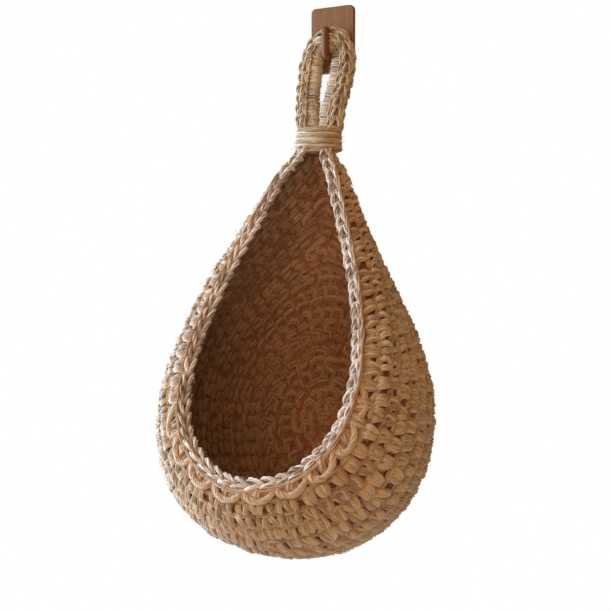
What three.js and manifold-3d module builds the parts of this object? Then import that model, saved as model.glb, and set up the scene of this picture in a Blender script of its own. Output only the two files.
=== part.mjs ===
// Crocheted wall basket on its wooden wall hook, in millimetres, +Z up.
// The wall is the plane Y = 0 and the room is on the -Y side. The origin is the middle of the hook
// plate's back, on the wall.

import * as THREE from 'three';
import { mergeVertices } from 'three/addons/utils/BufferGeometryUtils.js';
import Module from 'manifold-3d';

const manifoldLibrary = await Module();
manifoldLibrary.setup();
const { Manifold, Mesh: ManifoldMesh } = manifoldLibrary;

// Driving sizes

const seam = 0.3; // gap that neighbouring pieces keep
const fabricSeam = 0.7; // the same between bands of fabric, which draw together towards the neck
const overrun = 5; // how far a cutting tool runs past what it cuts

const plate = {
  width: 40.5,
  height: 57.5,
  thickness: 5.2,
  corner: 4,
  edge: 0.8, // rounding of the front and back edges
};

const pad = {
  thickness: 0.8,
  margin: 2, // how far it stays inside the plate's outline
};

const peg = {
  armDiameter: 7.4,
  armDrop: 16.4, // arm axis below the middle of the plate
  socketDepth: 3.8,
  tipWidth: 7.4, // at its top
  tipFoot: 6.4, // its width where the bend ends
  tipDepth: 6,
  tipRise: 24, // from the arm axis to the top of the tip
  tipEdge: 1.5, // rounding of its top
  bend: 4.3, // radius of the centre line where the arm turns up
};

const strap = {
  legWidth: 21.5,
  crownWidth: 19.5, // of the band that goes round the arm
  thickness: 11.4,
  eyeWidth: 7.5,
  eyeLength: 40, // from the arm axis to the bottom of the eye
  crotch: 23.8, // from the eye to the neck, where the legs lie against each other
  footWidth: 39, // both legs together, where they enter the neck
};

const neck = {
  width: 38,
  depth: 21.4,
  height: 22,
  edge: 1.2,
};

const twine = {
  diameter: 2.2,
  turns: 8,
};

const bowl = {
  height: 332, // from the underside of the neck to the lowest round
  reach: 172, // from the wall to the lip, at mid fabric
  halfWidth: 111, // at mid fabric
  fabric: 7, // thickness of the crocheted wall
  meridian: 243, // fabric length from the rim to the start of the rounds
  postRound: 14, // height of the raised round below the rim
  postRaise: 1.2, // how far that round stands out on both faces
  edging: 7.4, // width of the chain edge on the rim
  edgingHeight: 5.6,
  baseRadius: 66, // fabric length from the start of the rounds to the edge of the flat back
};

// Each ring of the bowl is a drop shape. down and out are measured for its top and its lowest point:
// down is a share of bowl.height below the neck, out a share of bowl.reach from the wall. half is a share
// of bowl.halfWidth, bow and gather are shares of reach and halfWidth, and taper is the drop's exponent.
// along is a share of bowl.meridian, from the rim to the start of the rounds.
const ringShares = [
  {
    along: 0.0, topDown: -0.14, topOut: 0.21, lowDown: 0.77, lowOut: 1.0,
    half: 0.645, taper: 1.9, bow: 0.047, gather: 0.055,
  },
  {
    along: 0.1, topDown: -0.11, topOut: 0.16, lowDown: 0.82, lowOut: 1.0,
    half: 0.82, taper: 1.5, bow: 0.023, gather: 0.13,
  },
  {
    along: 0.23, topDown: -0.02, topOut: 0.13, lowDown: 0.886, lowOut: 0.93,
    half: 0.935, taper: 1.3, bow: 0.0, gather: 0.16,
  },
  {
    along: 0.35, topDown: 0.09, topOut: 0.105, lowDown: 0.945, lowOut: 0.81,
    half: 1.0, taper: 1.0, bow: 0.006, gather: 0.145,
  },
  {
    along: 0.47, topDown: 0.2, topOut: 0.082, lowDown: 0.98, lowOut: 0.62,
    half: 0.985, taper: 0.65, bow: 0.023, gather: 0.105,
  },
  {
    along: 0.62, topDown: 0.325, topOut: 0.06, lowDown: 1.0, lowOut: 0.42,
    half: 0.875, taper: 0.3, bow: 0.035, gather: 0.055,
  },
  {
    along: 0.8, topDown: 0.5, topOut: 0.036, lowDown: 0.935, lowOut: 0.19,
    half: 0.61, taper: 0.1, bow: 0.03, gather: 0.01,
  },
  {
    along: 1.0, topDown: 0.7, topOut: 0.0235, lowDown: 0.7, lowOut: 0.0235,
    half: 0.0, taper: 0.0, bow: 0.0, gather: 0.0,
  },
];
const neckOutShare = 0.205; // middle of the neck from the wall, as a share of bowl.reach

// The hanging loop's outline and lean, as shares of its height between the neck and the arm axis.
const widestShare = 0.55;
const shoulderShare = 0.85; // where the eye opens out round the arm
const straightLeanShare = 0.55; // of its way out to the neck, the rest eases in and out
const footShares = [0, 0.35, 0.7, 0.95];
const legShares = [0.03, 0.12, 0.25, 0.4, 0.55, 0.7, 0.85, 1];
// Its section: places from the outer edge to the eye, and the thickness there.
const acrossShares = [0, 0.1, 0.3, 0.7, 0.9, 1];
const thicknessShares = [0.35, 0.8, 1, 1, 0.8, 0.35];

// The rounded top of the peg: how far up its edge, and how much narrower at the very top.
const tipEdgeShares = [0, 0.5, 0.85, 1];
const tipShrinkShare = 0.35;

// Counts

const columns = 72; // round the bowl
const postRows = 4; // across each band of fabric
const wallRows = 3;
const backRows = 5;
const beadSides = 10;
const pegSides = 16;
const neckSides = 32;
const socketSides = 32;
const edgeSegments = 3;
const cornerSegments = 6;
const curveSteps = 12;
const twineSteps = 24;
const twineSides = 6;

// Places worked out from the driving sizes

const plateBack = -(pad.thickness + seam);
const plateFront = plateBack - plate.thickness;
const strapMiddle = plateFront - seam - strap.thickness / 2;
const tipMiddle = strapMiddle - strap.thickness / 2 - seam - peg.tipDepth / 2;
const armRadius = peg.armDiameter / 2;
const armHeight = -peg.armDrop;
const crownRadius = armRadius + seam + strap.crownWidth;
const eyeBottom = armHeight - strap.eyeLength;
const strapBottom = eyeBottom - strap.crotch;
const neckTop = strapBottom - seam;
const neckBottom = neckTop - neck.height;
const bowlTop = neckBottom - seam;
const neckOut = -bowl.reach * neckOutShare;

// Materials

function material(colour, roughness) {
  return new THREE.MeshStandardMaterial({ color: colour, roughness, metalness: 0 });
}

const wood = material(0x9a7864, 0.6);
const darkWood = material(0x7b5540, 0.6);
const foam = material(0xe8e6e0, 0.9);
const jute = material(0x9c7448, 0.95);
const paleJute = material(0xb79468, 0.95);

const object = new THREE.Group();

function add(name, geometry, look) {
  const mesh = new THREE.Mesh(geometry, look);
  mesh.name = name;
  object.add(mesh);
  return mesh;
}

// Grids of points turned into closed surfaces

function geometryFrom(points, faces) {
  const geometry = new THREE.BufferGeometry();
  const flat = points.flatMap((point) => [point.x, point.y, point.z]);
  geometry.setAttribute('position', new THREE.Float32BufferAttribute(flat, 3));
  geometry.setIndex(faces.flat());
  geometry.computeVertexNormals();
  return geometry;
}

// Rows of points, each row a closed loop. The rows close on themselves, or end in flat caps.
function loftGeometry(rows, closed) {
  const sides = rows[0].length;
  const points = rows.flat();
  const faces = [];
  const bands = closed ? rows.length : rows.length - 1;
  for (let row = 0; row < bands; row += 1) {
    const next = (row + 1) % rows.length;
    for (let side = 0; side < sides; side += 1) {
      const beside = (side + 1) % sides;
      const corner = [row * sides + side, row * sides + beside, next * sides + beside, next * sides + side];
      faces.push([corner[0], corner[1], corner[2]], [corner[0], corner[2], corner[3]]);
    }
  }
  if (!closed) {
    for (const end of [0, rows.length - 1]) {
      const middle = points.length;
      const centre = rows[end].reduce((sum, point) => sum.add(point), new THREE.Vector3());
      points.push(centre.divideScalar(sides));
      for (let side = 0; side < sides; side += 1) {
        const first = end * sides + side;
        const second = end * sides + ((side + 1) % sides);
        faces.push(end === 0 ? [middle, second, first] : [middle, first, second]);
      }
    }
  }
  return outward(points, faces);
}

// Turns every face over if the volume that they enclose comes out negative.
function outward(points, faces) {
  const volume = faces.reduce((sum, [first, second, third]) => {
    const edge = new THREE.Vector3().crossVectors(points[second], points[third]);
    return sum + points[first].dot(edge);
  }, 0);
  const turned = volume < 0 ? faces.map(([first, second, third]) => [first, third, second]) : faces;
  return geometryFrom(points, turned);
}

// Boolean work

function toManifold(geometry) {
  const bare = geometry.clone();
  bare.deleteAttribute('normal');
  bare.deleteAttribute('uv');
  const merged = mergeVertices(bare);
  const mesh = new ManifoldMesh({
    numProp: 3,
    vertProperties: new Float32Array(merged.getAttribute('position').array),
    triVerts: new Uint32Array(merged.getIndex().array),
  });
  return new Manifold(mesh);
}

function fromManifold(solid) {
  const mesh = solid.getMesh();
  const geometry = new THREE.BufferGeometry();
  geometry.setAttribute('position', new THREE.Float32BufferAttribute(mesh.vertProperties, 3));
  geometry.setIndex(Array.from(mesh.triVerts));
  geometry.computeVertexNormals();
  return geometry;
}

// The bowl's surface

const ringNames = ['topDown', 'topOut', 'lowDown', 'lowOut', 'half', 'taper', 'bow', 'gather'];

// Smooth curve through one column of the ring table.
function ringValue(name, along) {
  const last = ringShares.length - 1;
  const slope = (index) => {
    const before = ringShares[Math.max(index - 1, 0)];
    const after = ringShares[Math.min(index + 1, last)];
    return (after[name] - before[name]) / (after.along - before.along);
  };
  let index = 0;
  while (index < last - 1 && along > ringShares[index + 1].along) index += 1;
  const start = ringShares[index];
  const end = ringShares[index + 1];
  const span = end.along - start.along;
  const t = (along - start.along) / span;
  const rise = t * t * (3 - 2 * t);
  const leave = t * (1 - t) * (1 - t) * span * slope(index);
  const arrive = t * t * (1 - t) * span * slope(index + 1);
  return start[name] + (end[name] - start[name]) * rise + leave - arrive;
}

function ringAt(along) {
  return Object.fromEntries(ringNames.map((name) => [name, ringValue(name, along)]));
}

// A point on the mid surface: turn runs once round from the neck, by the right side and the lip.
function bowlPoint(along, turn) {
  const ring = ringAt(along);
  const angle = turn * Math.PI * 2;
  const drop = Math.sin(angle / 2) ** 2;
  const sine = Math.abs(Math.sin(angle / 2));
  const cosine = Math.abs(Math.cos(angle / 2));
  const peak = ((ring.taper + 1) / (ring.taper + 2)) ** ((ring.taper + 1) / 2) / Math.sqrt(ring.taper + 2);
  const body = (ring.half * sine ** (ring.taper + 1) * cosine) / peak;
  const swing = Math.abs(Math.sin(angle));
  const pinch = ring.gather * Math.sqrt(swing) * (1 - drop) ** 2;
  const side = Math.sign(Math.sin(angle)) * bowl.halfWidth;
  const out = ring.topOut + (ring.lowOut - ring.topOut) * drop - ring.bow * swing;
  const down = ring.topDown + (ring.lowDown - ring.topDown) * drop;
  return new THREE.Vector3(side * Math.hypot(body, pinch), -bowl.reach * out, bowlTop - bowl.height * down);
}

// At a point: the unit vector out of the bowl, and the step that one length of fabric takes
// towards its start.
function bowlFrame(along, turn) {
  const stepShare = 1 / 400;
  const here = Math.min(along, 1 - stepShare);
  const back = Math.max(here - stepShare, 0);
  const across = bowlPoint(here + stepShare, turn).sub(bowlPoint(back, turn));
  const round = bowlPoint(here, turn + stepShare).sub(bowlPoint(here, turn - stepShare)).normalize();
  const out = new THREE.Vector3().crossVectors(round, across).normalize();
  return { out, across: across.divideScalar((here + stepShare - back) * bowl.meridian) };
}

function bowlOffset(along, turn, distance) {
  return bowlPoint(along, turn).addScaledVector(bowlFrame(along, turn).out, distance);
}

// A band of fabric between two distances from the rim. It swells on both faces, by raise half way across.
function fabricBand(start, end, raise, rows) {
  const loops = [];
  const turns = Array.from({ length: columns }, (_, column) => (column + 0.5) / columns);
  const spread = Array.from({ length: rows + 1 }, (_, row) => {
    const share = row / rows;
    const half = bowl.fabric / 2 + raise * Math.sin(share * Math.PI);
    return { along: (start + (end - start) * share) / bowl.meridian, half };
  });
  for (const turn of turns) {
    const outside = spread.map(({ along, half }) => bowlOffset(along, turn, half));
    const inside = spread.map(({ along, half }) => bowlOffset(along, turn, -half)).reverse();
    loops.push([...outside, ...inside]);
  }
  return loftGeometry(loops, true);
}

// The flat back: the same fabric, closed in the middle.
function fabricDisc(start, rows) {
  const half = bowl.fabric / 2;
  const points = [];
  const faces = [];
  const end = bowl.meridian;
  const centre = bowlPoint(1, 0);
  for (const distance of [half, -half]) {
    for (let row = 0; row < rows; row += 1) {
      const along = (start + ((end - start) * row) / rows) / bowl.meridian;
      for (let column = 0; column < columns; column += 1) {
        points.push(bowlOffset(along, (column + 0.5) / columns, distance));
      }
    }
  }
  const skin = rows * columns;
  points.push(centre.clone().setY(centre.y + half), centre.clone().setY(centre.y - half));
  for (let column = 0; column < columns; column += 1) {
    const next = (column + 1) % columns;
    for (let row = 0; row < rows - 1; row += 1) {
      const at = row * columns;
      const below = at + columns;
      faces.push([at + column, at + next, below + next], [at + column, below + next, below + column]);
      const inner = [skin + at + column, skin + at + next, skin + below + next, skin + below + column];
      faces.push([inner[0], inner[2], inner[1]], [inner[0], inner[3], inner[2]]);
    }
    const last = (rows - 1) * columns;
    faces.push([last + column, last + next, 2 * skin]);
    faces.push([skin + last + next, skin + last + column, 2 * skin + 1]);
    faces.push([column, skin + column, skin + next], [column, skin + next, next]);
  }
  return outward(points, faces);
}

// The chain that closes the rim: an oval bead along the first ring.
function edgingBead() {
  const loops = [];
  for (let column = 0; column < columns; column += 1) {
    const turn = (column + 0.5) / columns;
    const { out, across } = bowlFrame(0, turn);
    const centre = bowlPoint(0, turn);
    const loop = [];
    for (let side = 0; side < beadSides; side += 1) {
      const angle = (side / beadSides) * Math.PI * 2;
      const point = centre.clone();
      point.addScaledVector(out, (Math.cos(angle) * bowl.edging) / 2);
      point.addScaledVector(across, (Math.sin(angle) * bowl.edgingHeight) / 2);
      loop.push(point);
    }
    loops.push(loop);
  }
  return loftGeometry(loops, true);
}

// All that stands above the underside of the neck is pinched inside the binding, and is cut away here.
function belowNeck(geometry) {
  const block = new THREE.BoxGeometry(bowl.halfWidth * 2, (bowl.reach + overrun) * 2, bowl.height);
  block.translate(0, 0, bowlTop + bowl.height / 2);
  return fromManifold(toManifold(geometry).subtract(toManifold(block)));
}

// Hook

function roundedRectangle(width, height, corner) {
  const x = width / 2;
  const z = height / 2;
  const shape = new THREE.Shape();
  shape.moveTo(corner - x, -z);
  shape.lineTo(x - corner, -z);
  shape.absarc(x - corner, corner - z, corner, -Math.PI / 2, 0, false);
  shape.lineTo(x, z - corner);
  shape.absarc(x - corner, z - corner, corner, 0, Math.PI / 2, false);
  shape.lineTo(corner - x, z);
  shape.absarc(corner - x, z - corner, corner, Math.PI / 2, Math.PI, false);
  shape.lineTo(-x, corner - z);
  shape.absarc(corner - x, corner - z, corner, Math.PI, Math.PI * 1.5, false);
  return shape;
}

// A plate in the XZ plane whose back lies at the given distance from the wall.
function slab(width, height, thickness, corner, edge, back) {
  const geometry = new THREE.ExtrudeGeometry(roundedRectangle(width, height, corner), {
    depth: thickness - edge * 2,
    bevelEnabled: edge > 0,
    bevelThickness: edge,
    bevelSize: edge,
    bevelOffset: -edge,
    bevelSegments: edgeSegments,
    curveSegments: cornerSegments,
  });
  geometry.rotateX(Math.PI / 2);
  geometry.translate(0, back - edge, 0);
  return geometry;
}

function hookPlate() {
  const blank = slab(plate.width, plate.height, plate.thickness, plate.corner, plate.edge, plateBack);
  const radius = armRadius + seam;
  const length = peg.socketDepth + overrun;
  const socket = new THREE.CylinderGeometry(radius, radius, length, socketSides);
  socket.translate(0, plateFront + peg.socketDepth - length / 2, armHeight);
  return fromManifold(toManifold(blank).subtract(toManifold(socket)));
}

// The peg's centre line in the YZ plane, with the half sizes of its section on the way.
function hookPeg() {
  const stations = [];
  const root = plateFront + peg.socketDepth - seam;
  const bendStart = tipMiddle + peg.bend;
  const tipTop = armHeight + peg.tipRise;
  const arm = [armRadius, armRadius];
  const foot = [peg.tipFoot / 2, peg.tipDepth / 2];
  const top = [peg.tipWidth / 2, peg.tipDepth / 2];
  stations.push({ y: root, z: armHeight, lean: 0, size: arm });
  stations.push({ y: bendStart, z: armHeight, lean: 0, size: arm });
  for (let step = 1; step <= curveSteps; step += 1) {
    const share = step / curveSteps;
    const lean = (share * Math.PI) / 2;
    const size = arm.map((value, index) => value + (foot[index] - value) * share);
    const y = bendStart - peg.bend * Math.sin(lean);
    const z = armHeight + peg.bend * (1 - Math.cos(lean));
    stations.push({ y, z, lean, size });
  }
  for (const share of tipEdgeShares) {
    const shrink = 1 - tipShrinkShare * share ** 2;
    const size = top.map((value) => value * shrink);
    stations.push({ y: tipMiddle, z: tipTop - peg.tipEdge * (1 - share), lean: Math.PI / 2, size });
  }
  const rows = stations.map(({ y, z, lean, size }) => {
    const upright = new THREE.Vector3(0, Math.sin(lean), Math.cos(lean));
    return Array.from({ length: pegSides }, (_, side) => {
      const angle = (side / pegSides) * Math.PI * 2;
      const point = new THREE.Vector3(Math.cos(angle) * size[0], y, z);
      return point.addScaledVector(upright, Math.sin(angle) * size[1]);
    });
  });
  return loftGeometry(rows, false);
}

// Hanging loop

// How far the loop leans out from the wall, below the arm.
function strapOut(z) {
  const fall = Math.max(armHeight - z, 0);
  const full = armHeight - strapBottom;
  const reach = neckOut - strapMiddle;
  const share = fall / full;
  const eased = share * share * (3 - 2 * share);
  return strapMiddle + reach * (straightLeanShare * share + (1 - straightLeanShare) * eased);
}

// Matching points of the outer outline and of the eye, from the bottom up the right side to the top.
function strapOutlines() {
  const eyeHalf = strap.eyeWidth / 2;
  const seat = armRadius + seam;
  const foot = strap.footWidth / 2;
  const widest = eyeHalf + strap.legWidth;
  const pairs = [];
  for (const share of footShares) {
    const angle = (share * Math.PI) / 2;
    const eye = [eyeHalf * Math.sin(angle), eyeBottom + eyeHalf * (1 - Math.cos(angle))];
    pairs.push({ outer: [foot * share, strapBottom], eye });
  }
  for (const share of legShares) {
    const swell = Math.sin(Math.min(share / widestShare, 1) * (Math.PI / 2));
    const draw = Math.max(share - widestShare, 0) / (1 - widestShare);
    const outerX = foot + (widest - foot) * swell + (crownRadius - widest) * draw;
    const outerZ = strapBottom + (armHeight - strapBottom) * share;
    const narrow = share > shoulderShare ? seat + seam : eyeHalf;
    const eyeZ = eyeBottom + eyeHalf + (armHeight - eyeBottom - eyeHalf) * share;
    pairs.push({ outer: [outerX, outerZ], eye: [narrow, eyeZ] });
  }
  for (let step = 1; step < curveSteps; step += 1) {
    const angle = (step / curveSteps) * (Math.PI / 2);
    const outer = [crownRadius * Math.cos(angle), armHeight + crownRadius * Math.sin(angle)];
    const rise = (seat + seam * Math.cos(angle)) * Math.sin(angle);
    const eye = [(seat + seam) * Math.cos(angle), armHeight + rise];
    pairs.push({ outer, eye });
  }
  pairs.push({ outer: [0, armHeight + crownRadius], eye: [0, armHeight + seat] });
  return pairs;
}

function hangingLoop() {
  const right = strapOutlines();
  const left = right.slice(1, -1).reverse().map(({ outer, eye }) => ({
    outer: [-outer[0], outer[1]],
    eye: [-eye[0], eye[1]],
  }));
  const rows = [...right, ...left].map(({ outer, eye }) => {
    const face = (side) => acrossShares.map((share, index) => {
      const x = outer[0] + (eye[0] - outer[0]) * share;
      const z = outer[1] + (eye[1] - outer[1]) * share;
      return new THREE.Vector3(x, strapOut(z) + (side * thicknessShares[index] * strap.thickness) / 2, z);
    });
    return [...face(1), ...face(-1).reverse()];
  });
  return loftGeometry(rows, true);
}

// Neck

function gatheredNeck() {
  const heights = [
    [0, 1 - neck.edge / neck.depth],
    [neck.edge, 1],
    [neck.height - neck.edge, 1],
    [neck.height, 1 - neck.edge / neck.depth],
  ];
  const rows = heights.map(([rise, share]) => Array.from({ length: neckSides }, (_, side) => {
    const angle = (side / neckSides) * Math.PI * 2;
    const x = (Math.cos(angle) * neck.width * share) / 2;
    const y = neckOut + (Math.sin(angle) * neck.depth * share) / 2;
    return new THREE.Vector3(x, y, neckBottom + rise);
  }));
  return loftGeometry(rows, false);
}

// Twine wound round the neck as one unbroken helix.
function neckBinding() {
  const radius = twine.diameter / 2;
  const acrossX = neck.width / 2 + seam + radius;
  const acrossY = neck.depth / 2 + seam + radius;
  const rise = neck.height - twine.diameter;
  const pitch = rise / twine.turns;
  const steps = twine.turns * twineSteps;
  const centre = (step) => {
    const angle = (step / twineSteps) * Math.PI * 2;
    const x = Math.sin(angle) * acrossX;
    const y = neckOut + Math.cos(angle) * acrossY;
    return new THREE.Vector3(x, y, neckBottom + radius + (pitch * step) / twineSteps);
  };
  const rows = [];
  for (let step = 0; step <= steps; step += 1) {
    const angle = (step / twineSteps) * Math.PI * 2;
    const out = new THREE.Vector3(Math.sin(angle) / acrossX, Math.cos(angle) / acrossY, 0).normalize();
    const middle = centre(step);
    rows.push(Array.from({ length: twineSides }, (_, side) => {
      const around = (side / twineSides) * Math.PI * 2;
      const point = middle.clone().addScaledVector(out, Math.cos(around) * radius);
      point.z += Math.sin(around) * radius;
      return point;
    }));
  }
  let least = Infinity;
  for (let step = 0; step + twineSteps <= steps; step += 1) {
    for (const point of rows[step]) {
      for (const above of rows[step + twineSteps]) least = Math.min(least, point.distanceTo(above));
    }
  }
  console.log(`neck_binding: least gap between turns ${least.toFixed(2)} mm`);
  return loftGeometry(rows, false);
}

// Assembly

const padWidth = plate.width - pad.margin * 2;
const padHeight = plate.height - pad.margin * 2;
add('adhesive_pad', slab(padWidth, padHeight, pad.thickness, pad.margin, 0, 0), foam);
add('hook_plate', hookPlate(), wood);
add('hook_peg', hookPeg(), darkWood);
add('hanging_loop', hangingLoop(), paleJute);
add('gathered_neck', gatheredNeck(), jute);
add('neck_binding', neckBinding(), paleJute);

const postStart = bowl.edgingHeight / 2 + fabricSeam;
const postEnd = postStart + bowl.postRound;
add('rim_edging', belowNeck(edgingBead()), paleJute);
add('post_round', belowNeck(fabricBand(postStart, postEnd, bowl.postRaise, postRows)), paleJute);

// The side wall below it, in four equal bands as far as the flat back.
const baseStart = bowl.meridian - bowl.baseRadius;
const bandNames = ['lip_rounds', 'belly_rounds', 'back_rounds', 'base_rounds'];
const bandLength = (baseStart - fabricSeam - postEnd) / bandNames.length;
bandNames.forEach((name, index) => {
  const start = postEnd + bandLength * index;
  add(name, belowNeck(fabricBand(start + fabricSeam, start + bandLength, 0, wallRows)), jute);
});
add('base_panel', fabricDisc(baseStart, backRows), jute);

export default object;
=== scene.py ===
# Crocheted jute wall basket, hung by its loop on a wooden hook that sticks to the wall.
import logging
import math
from dataclasses import dataclass, field
from enum import Enum

import bpy
import numpy as np
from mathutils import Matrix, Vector


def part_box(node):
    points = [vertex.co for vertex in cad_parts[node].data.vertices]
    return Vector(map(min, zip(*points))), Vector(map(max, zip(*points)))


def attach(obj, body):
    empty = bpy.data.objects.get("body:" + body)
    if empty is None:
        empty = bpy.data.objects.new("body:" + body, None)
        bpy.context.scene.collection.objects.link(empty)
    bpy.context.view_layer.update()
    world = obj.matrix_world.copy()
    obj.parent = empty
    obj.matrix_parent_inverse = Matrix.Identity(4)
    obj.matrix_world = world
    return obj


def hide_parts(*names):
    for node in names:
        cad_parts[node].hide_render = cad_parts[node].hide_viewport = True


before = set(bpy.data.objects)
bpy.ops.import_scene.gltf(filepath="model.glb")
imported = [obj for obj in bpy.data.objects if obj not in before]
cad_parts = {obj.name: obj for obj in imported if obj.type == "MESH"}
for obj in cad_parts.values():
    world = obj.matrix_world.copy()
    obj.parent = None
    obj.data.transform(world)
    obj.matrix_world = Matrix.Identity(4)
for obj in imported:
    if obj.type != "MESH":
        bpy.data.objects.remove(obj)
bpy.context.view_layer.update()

LOG = logging.getLogger("wall_basket")
MM = 0.001
SEED = 11
Colour = tuple[float, float, float, float]  # linear red, green, blue and alpha
WHITE: Colour = (1.0, 1.0, 1.0, 1.0)
PAINTED_SHADE: Colour = (0.56, 0.26, 0.175, 1.0)  # the yarn's colour at full painted shade, deep in the fabric between strands


class Body(Enum):
    """The two bodies of the frame."""

    HOOK = "wall_hook"
    BASKET = "basket"


# Small tools


def linear(colour: str) -> Colour:
    """Turns an sRGB hex colour into the linear colour that shaders take.

    Args:
        colour: Six hex digits after a hash sign.

    Returns:
        Linear red, green and blue with an alpha of one.
    """
    parts = [int(colour[at:at + 2], 16) / 255 for at in (1, 3, 5)]
    red, green, blue = (
        part / 12.92 if part <= 0.04045 else ((part + 0.055) / 1.055) ** 2.4 for part in parts)
    return (red, green, blue, 1.0)


def smooth_share(value: np.ndarray | float, low: float, high: float) -> np.ndarray | float:
    """Rises smoothly from 0 at low to 1 at high."""
    share = np.clip((value - low) / (high - low), 0.0, 1.0)
    return share * share * (3 - 2 * share)


def unit(vectors: np.ndarray) -> np.ndarray:
    """Scales each vector in an array to length one."""
    return vectors / np.maximum(np.linalg.norm(vectors, axis=-1, keepdims=True), 1e-9)


def spline(points: np.ndarray, steps: int, closed: bool) -> np.ndarray:
    """Lays a Catmull-Rom curve through points.

    Args:
        points: One row for each point, with any number of values.
        steps: Samples from each point to the next.
        closed: Whether the curve goes on from the last point to the first.

    Returns:
        The samples, one row each.
    """
    if closed:
        before, after, beyond = np.roll(points, 1, 0), np.roll(points, -1, 0), np.roll(points, -2, 0)
        here = points
    else:
        here = points[:-1]
        after = points[1:]
        before = np.vstack([2 * points[:1] - points[1:2], points[:-2]])
        beyond = np.vstack([points[2:], 2 * points[-1:] - points[-2:-1]])
    t = (np.arange(steps) / steps)[None, :, None]
    p0, p1, p2, p3 = (part[:, None, :] for part in (before, here, after, beyond))
    curve = 0.5 * (2 * p1 + (p2 - p0) * t + (2 * p0 - 5 * p1 + 4 * p2 - p3) * t ** 2
                   + (3 * p1 - p0 - 3 * p2 + p3) * t ** 3)
    curve = curve.reshape(-1, points.shape[1])
    return curve if closed else np.vstack([curve, points[-1:]])


def wave(length: int, period: float, rng: np.random.Generator) -> np.ndarray:
    """Makes a random curve of some length between -1 and 1, with a turn in it once in a period."""
    knots = rng.uniform(-1, 1, max(int(length / period) + 3, 4))
    return np.interp(np.arange(length) / period, np.arange(len(knots)), knots)


def shade_depth(lift: np.ndarray, top: float, span: float, most: float = 1.0) -> np.ndarray:
    """Gives the painted shade for a lift in mm from how deep in the fabric it lies: 0 down to top, then more
    over a span, up to most.
    """
    return np.clip((top - lift) / span, 0, most)


def add_node(tree: bpy.types.NodeTree, kind: str, values: dict | None = None, links: dict | None = None,
             stops: tuple[tuple[float, Colour], ...] = (), **settings: object) -> bpy.types.Node:
    """Adds a shader node with its settings and links.

    Args:
        tree: The node tree that it goes into.
        kind: Blender's name for the kind of node.
        values: Input values by socket name or number.
        links: Sockets that feed its inputs, by socket name or number.
        stops: Places from 0 to 1 with their linear colours, where it is a colour ramp.
        **settings: The node's own properties.

    Returns:
        The new node.
    """
    node = tree.nodes.new(kind)
    for name, value in settings.items():
        setattr(node, name, value)
    for name, value in (values or {}).items():
        node.inputs[name].default_value = value
    for name, source in (links or {}).items():
        tree.links.new(source, node.inputs[name])
    for _ in stops[2:]:
        node.color_ramp.elements.new(0.5)
    for at, (place, colour) in enumerate(stops):
        node.color_ramp.elements[at].position = place
        node.color_ramp.elements[at].color = colour
    return node


def add_object(name: str, data: bpy.types.ID) -> bpy.types.Object:
    """Puts an object in the scene.

    Args:
        name: Its name.
        data: Its mesh, lamp or camera.

    Returns:
        The object.
    """
    made = bpy.data.objects.new(name, data)
    bpy.context.scene.collection.objects.link(made)
    return made


def mark(mesh: bpy.types.Mesh, depth: np.ndarray | float, tone: np.ndarray | float) -> None:
    """Writes the point attributes that the finish of the yarn reads.

    Args:
        mesh: The mesh that takes them.
        depth: How deep in the fabric each point lies, from 0 to 1, which the finish turns into painted shade.
        tone: The lightness of the strand that it belongs to, from 0 to 1.
    """
    for label, values in (("depth", depth), ("tone", tone)):
        attribute = mesh.attributes.new(label, "FLOAT", "POINT")
        attribute.data.foreach_set("value", np.broadcast_to(values, len(mesh.vertices)).astype(np.float32))


# Finishes


@dataclass(frozen=True)
class Finish:
    """What every finish has: a name, and a shader that ends in a material."""

    name: str

    def shade(self, tree: bpy.types.NodeTree) -> bpy.types.Node:
        """Lays out the nodes of the finish in a tree and gives its shader."""
        raise NotImplementedError

    def build(self) -> bpy.types.Material:
        """Makes the material.

        Returns:
            The new material.
        """
        material = bpy.data.materials.new(self.name)
        material.use_nodes = True
        tree = material.node_tree
        tree.nodes.clear()
        add_node(tree, "ShaderNodeOutputMaterial", links={"Surface": self.shade(tree).outputs[0]})
        return material


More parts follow.
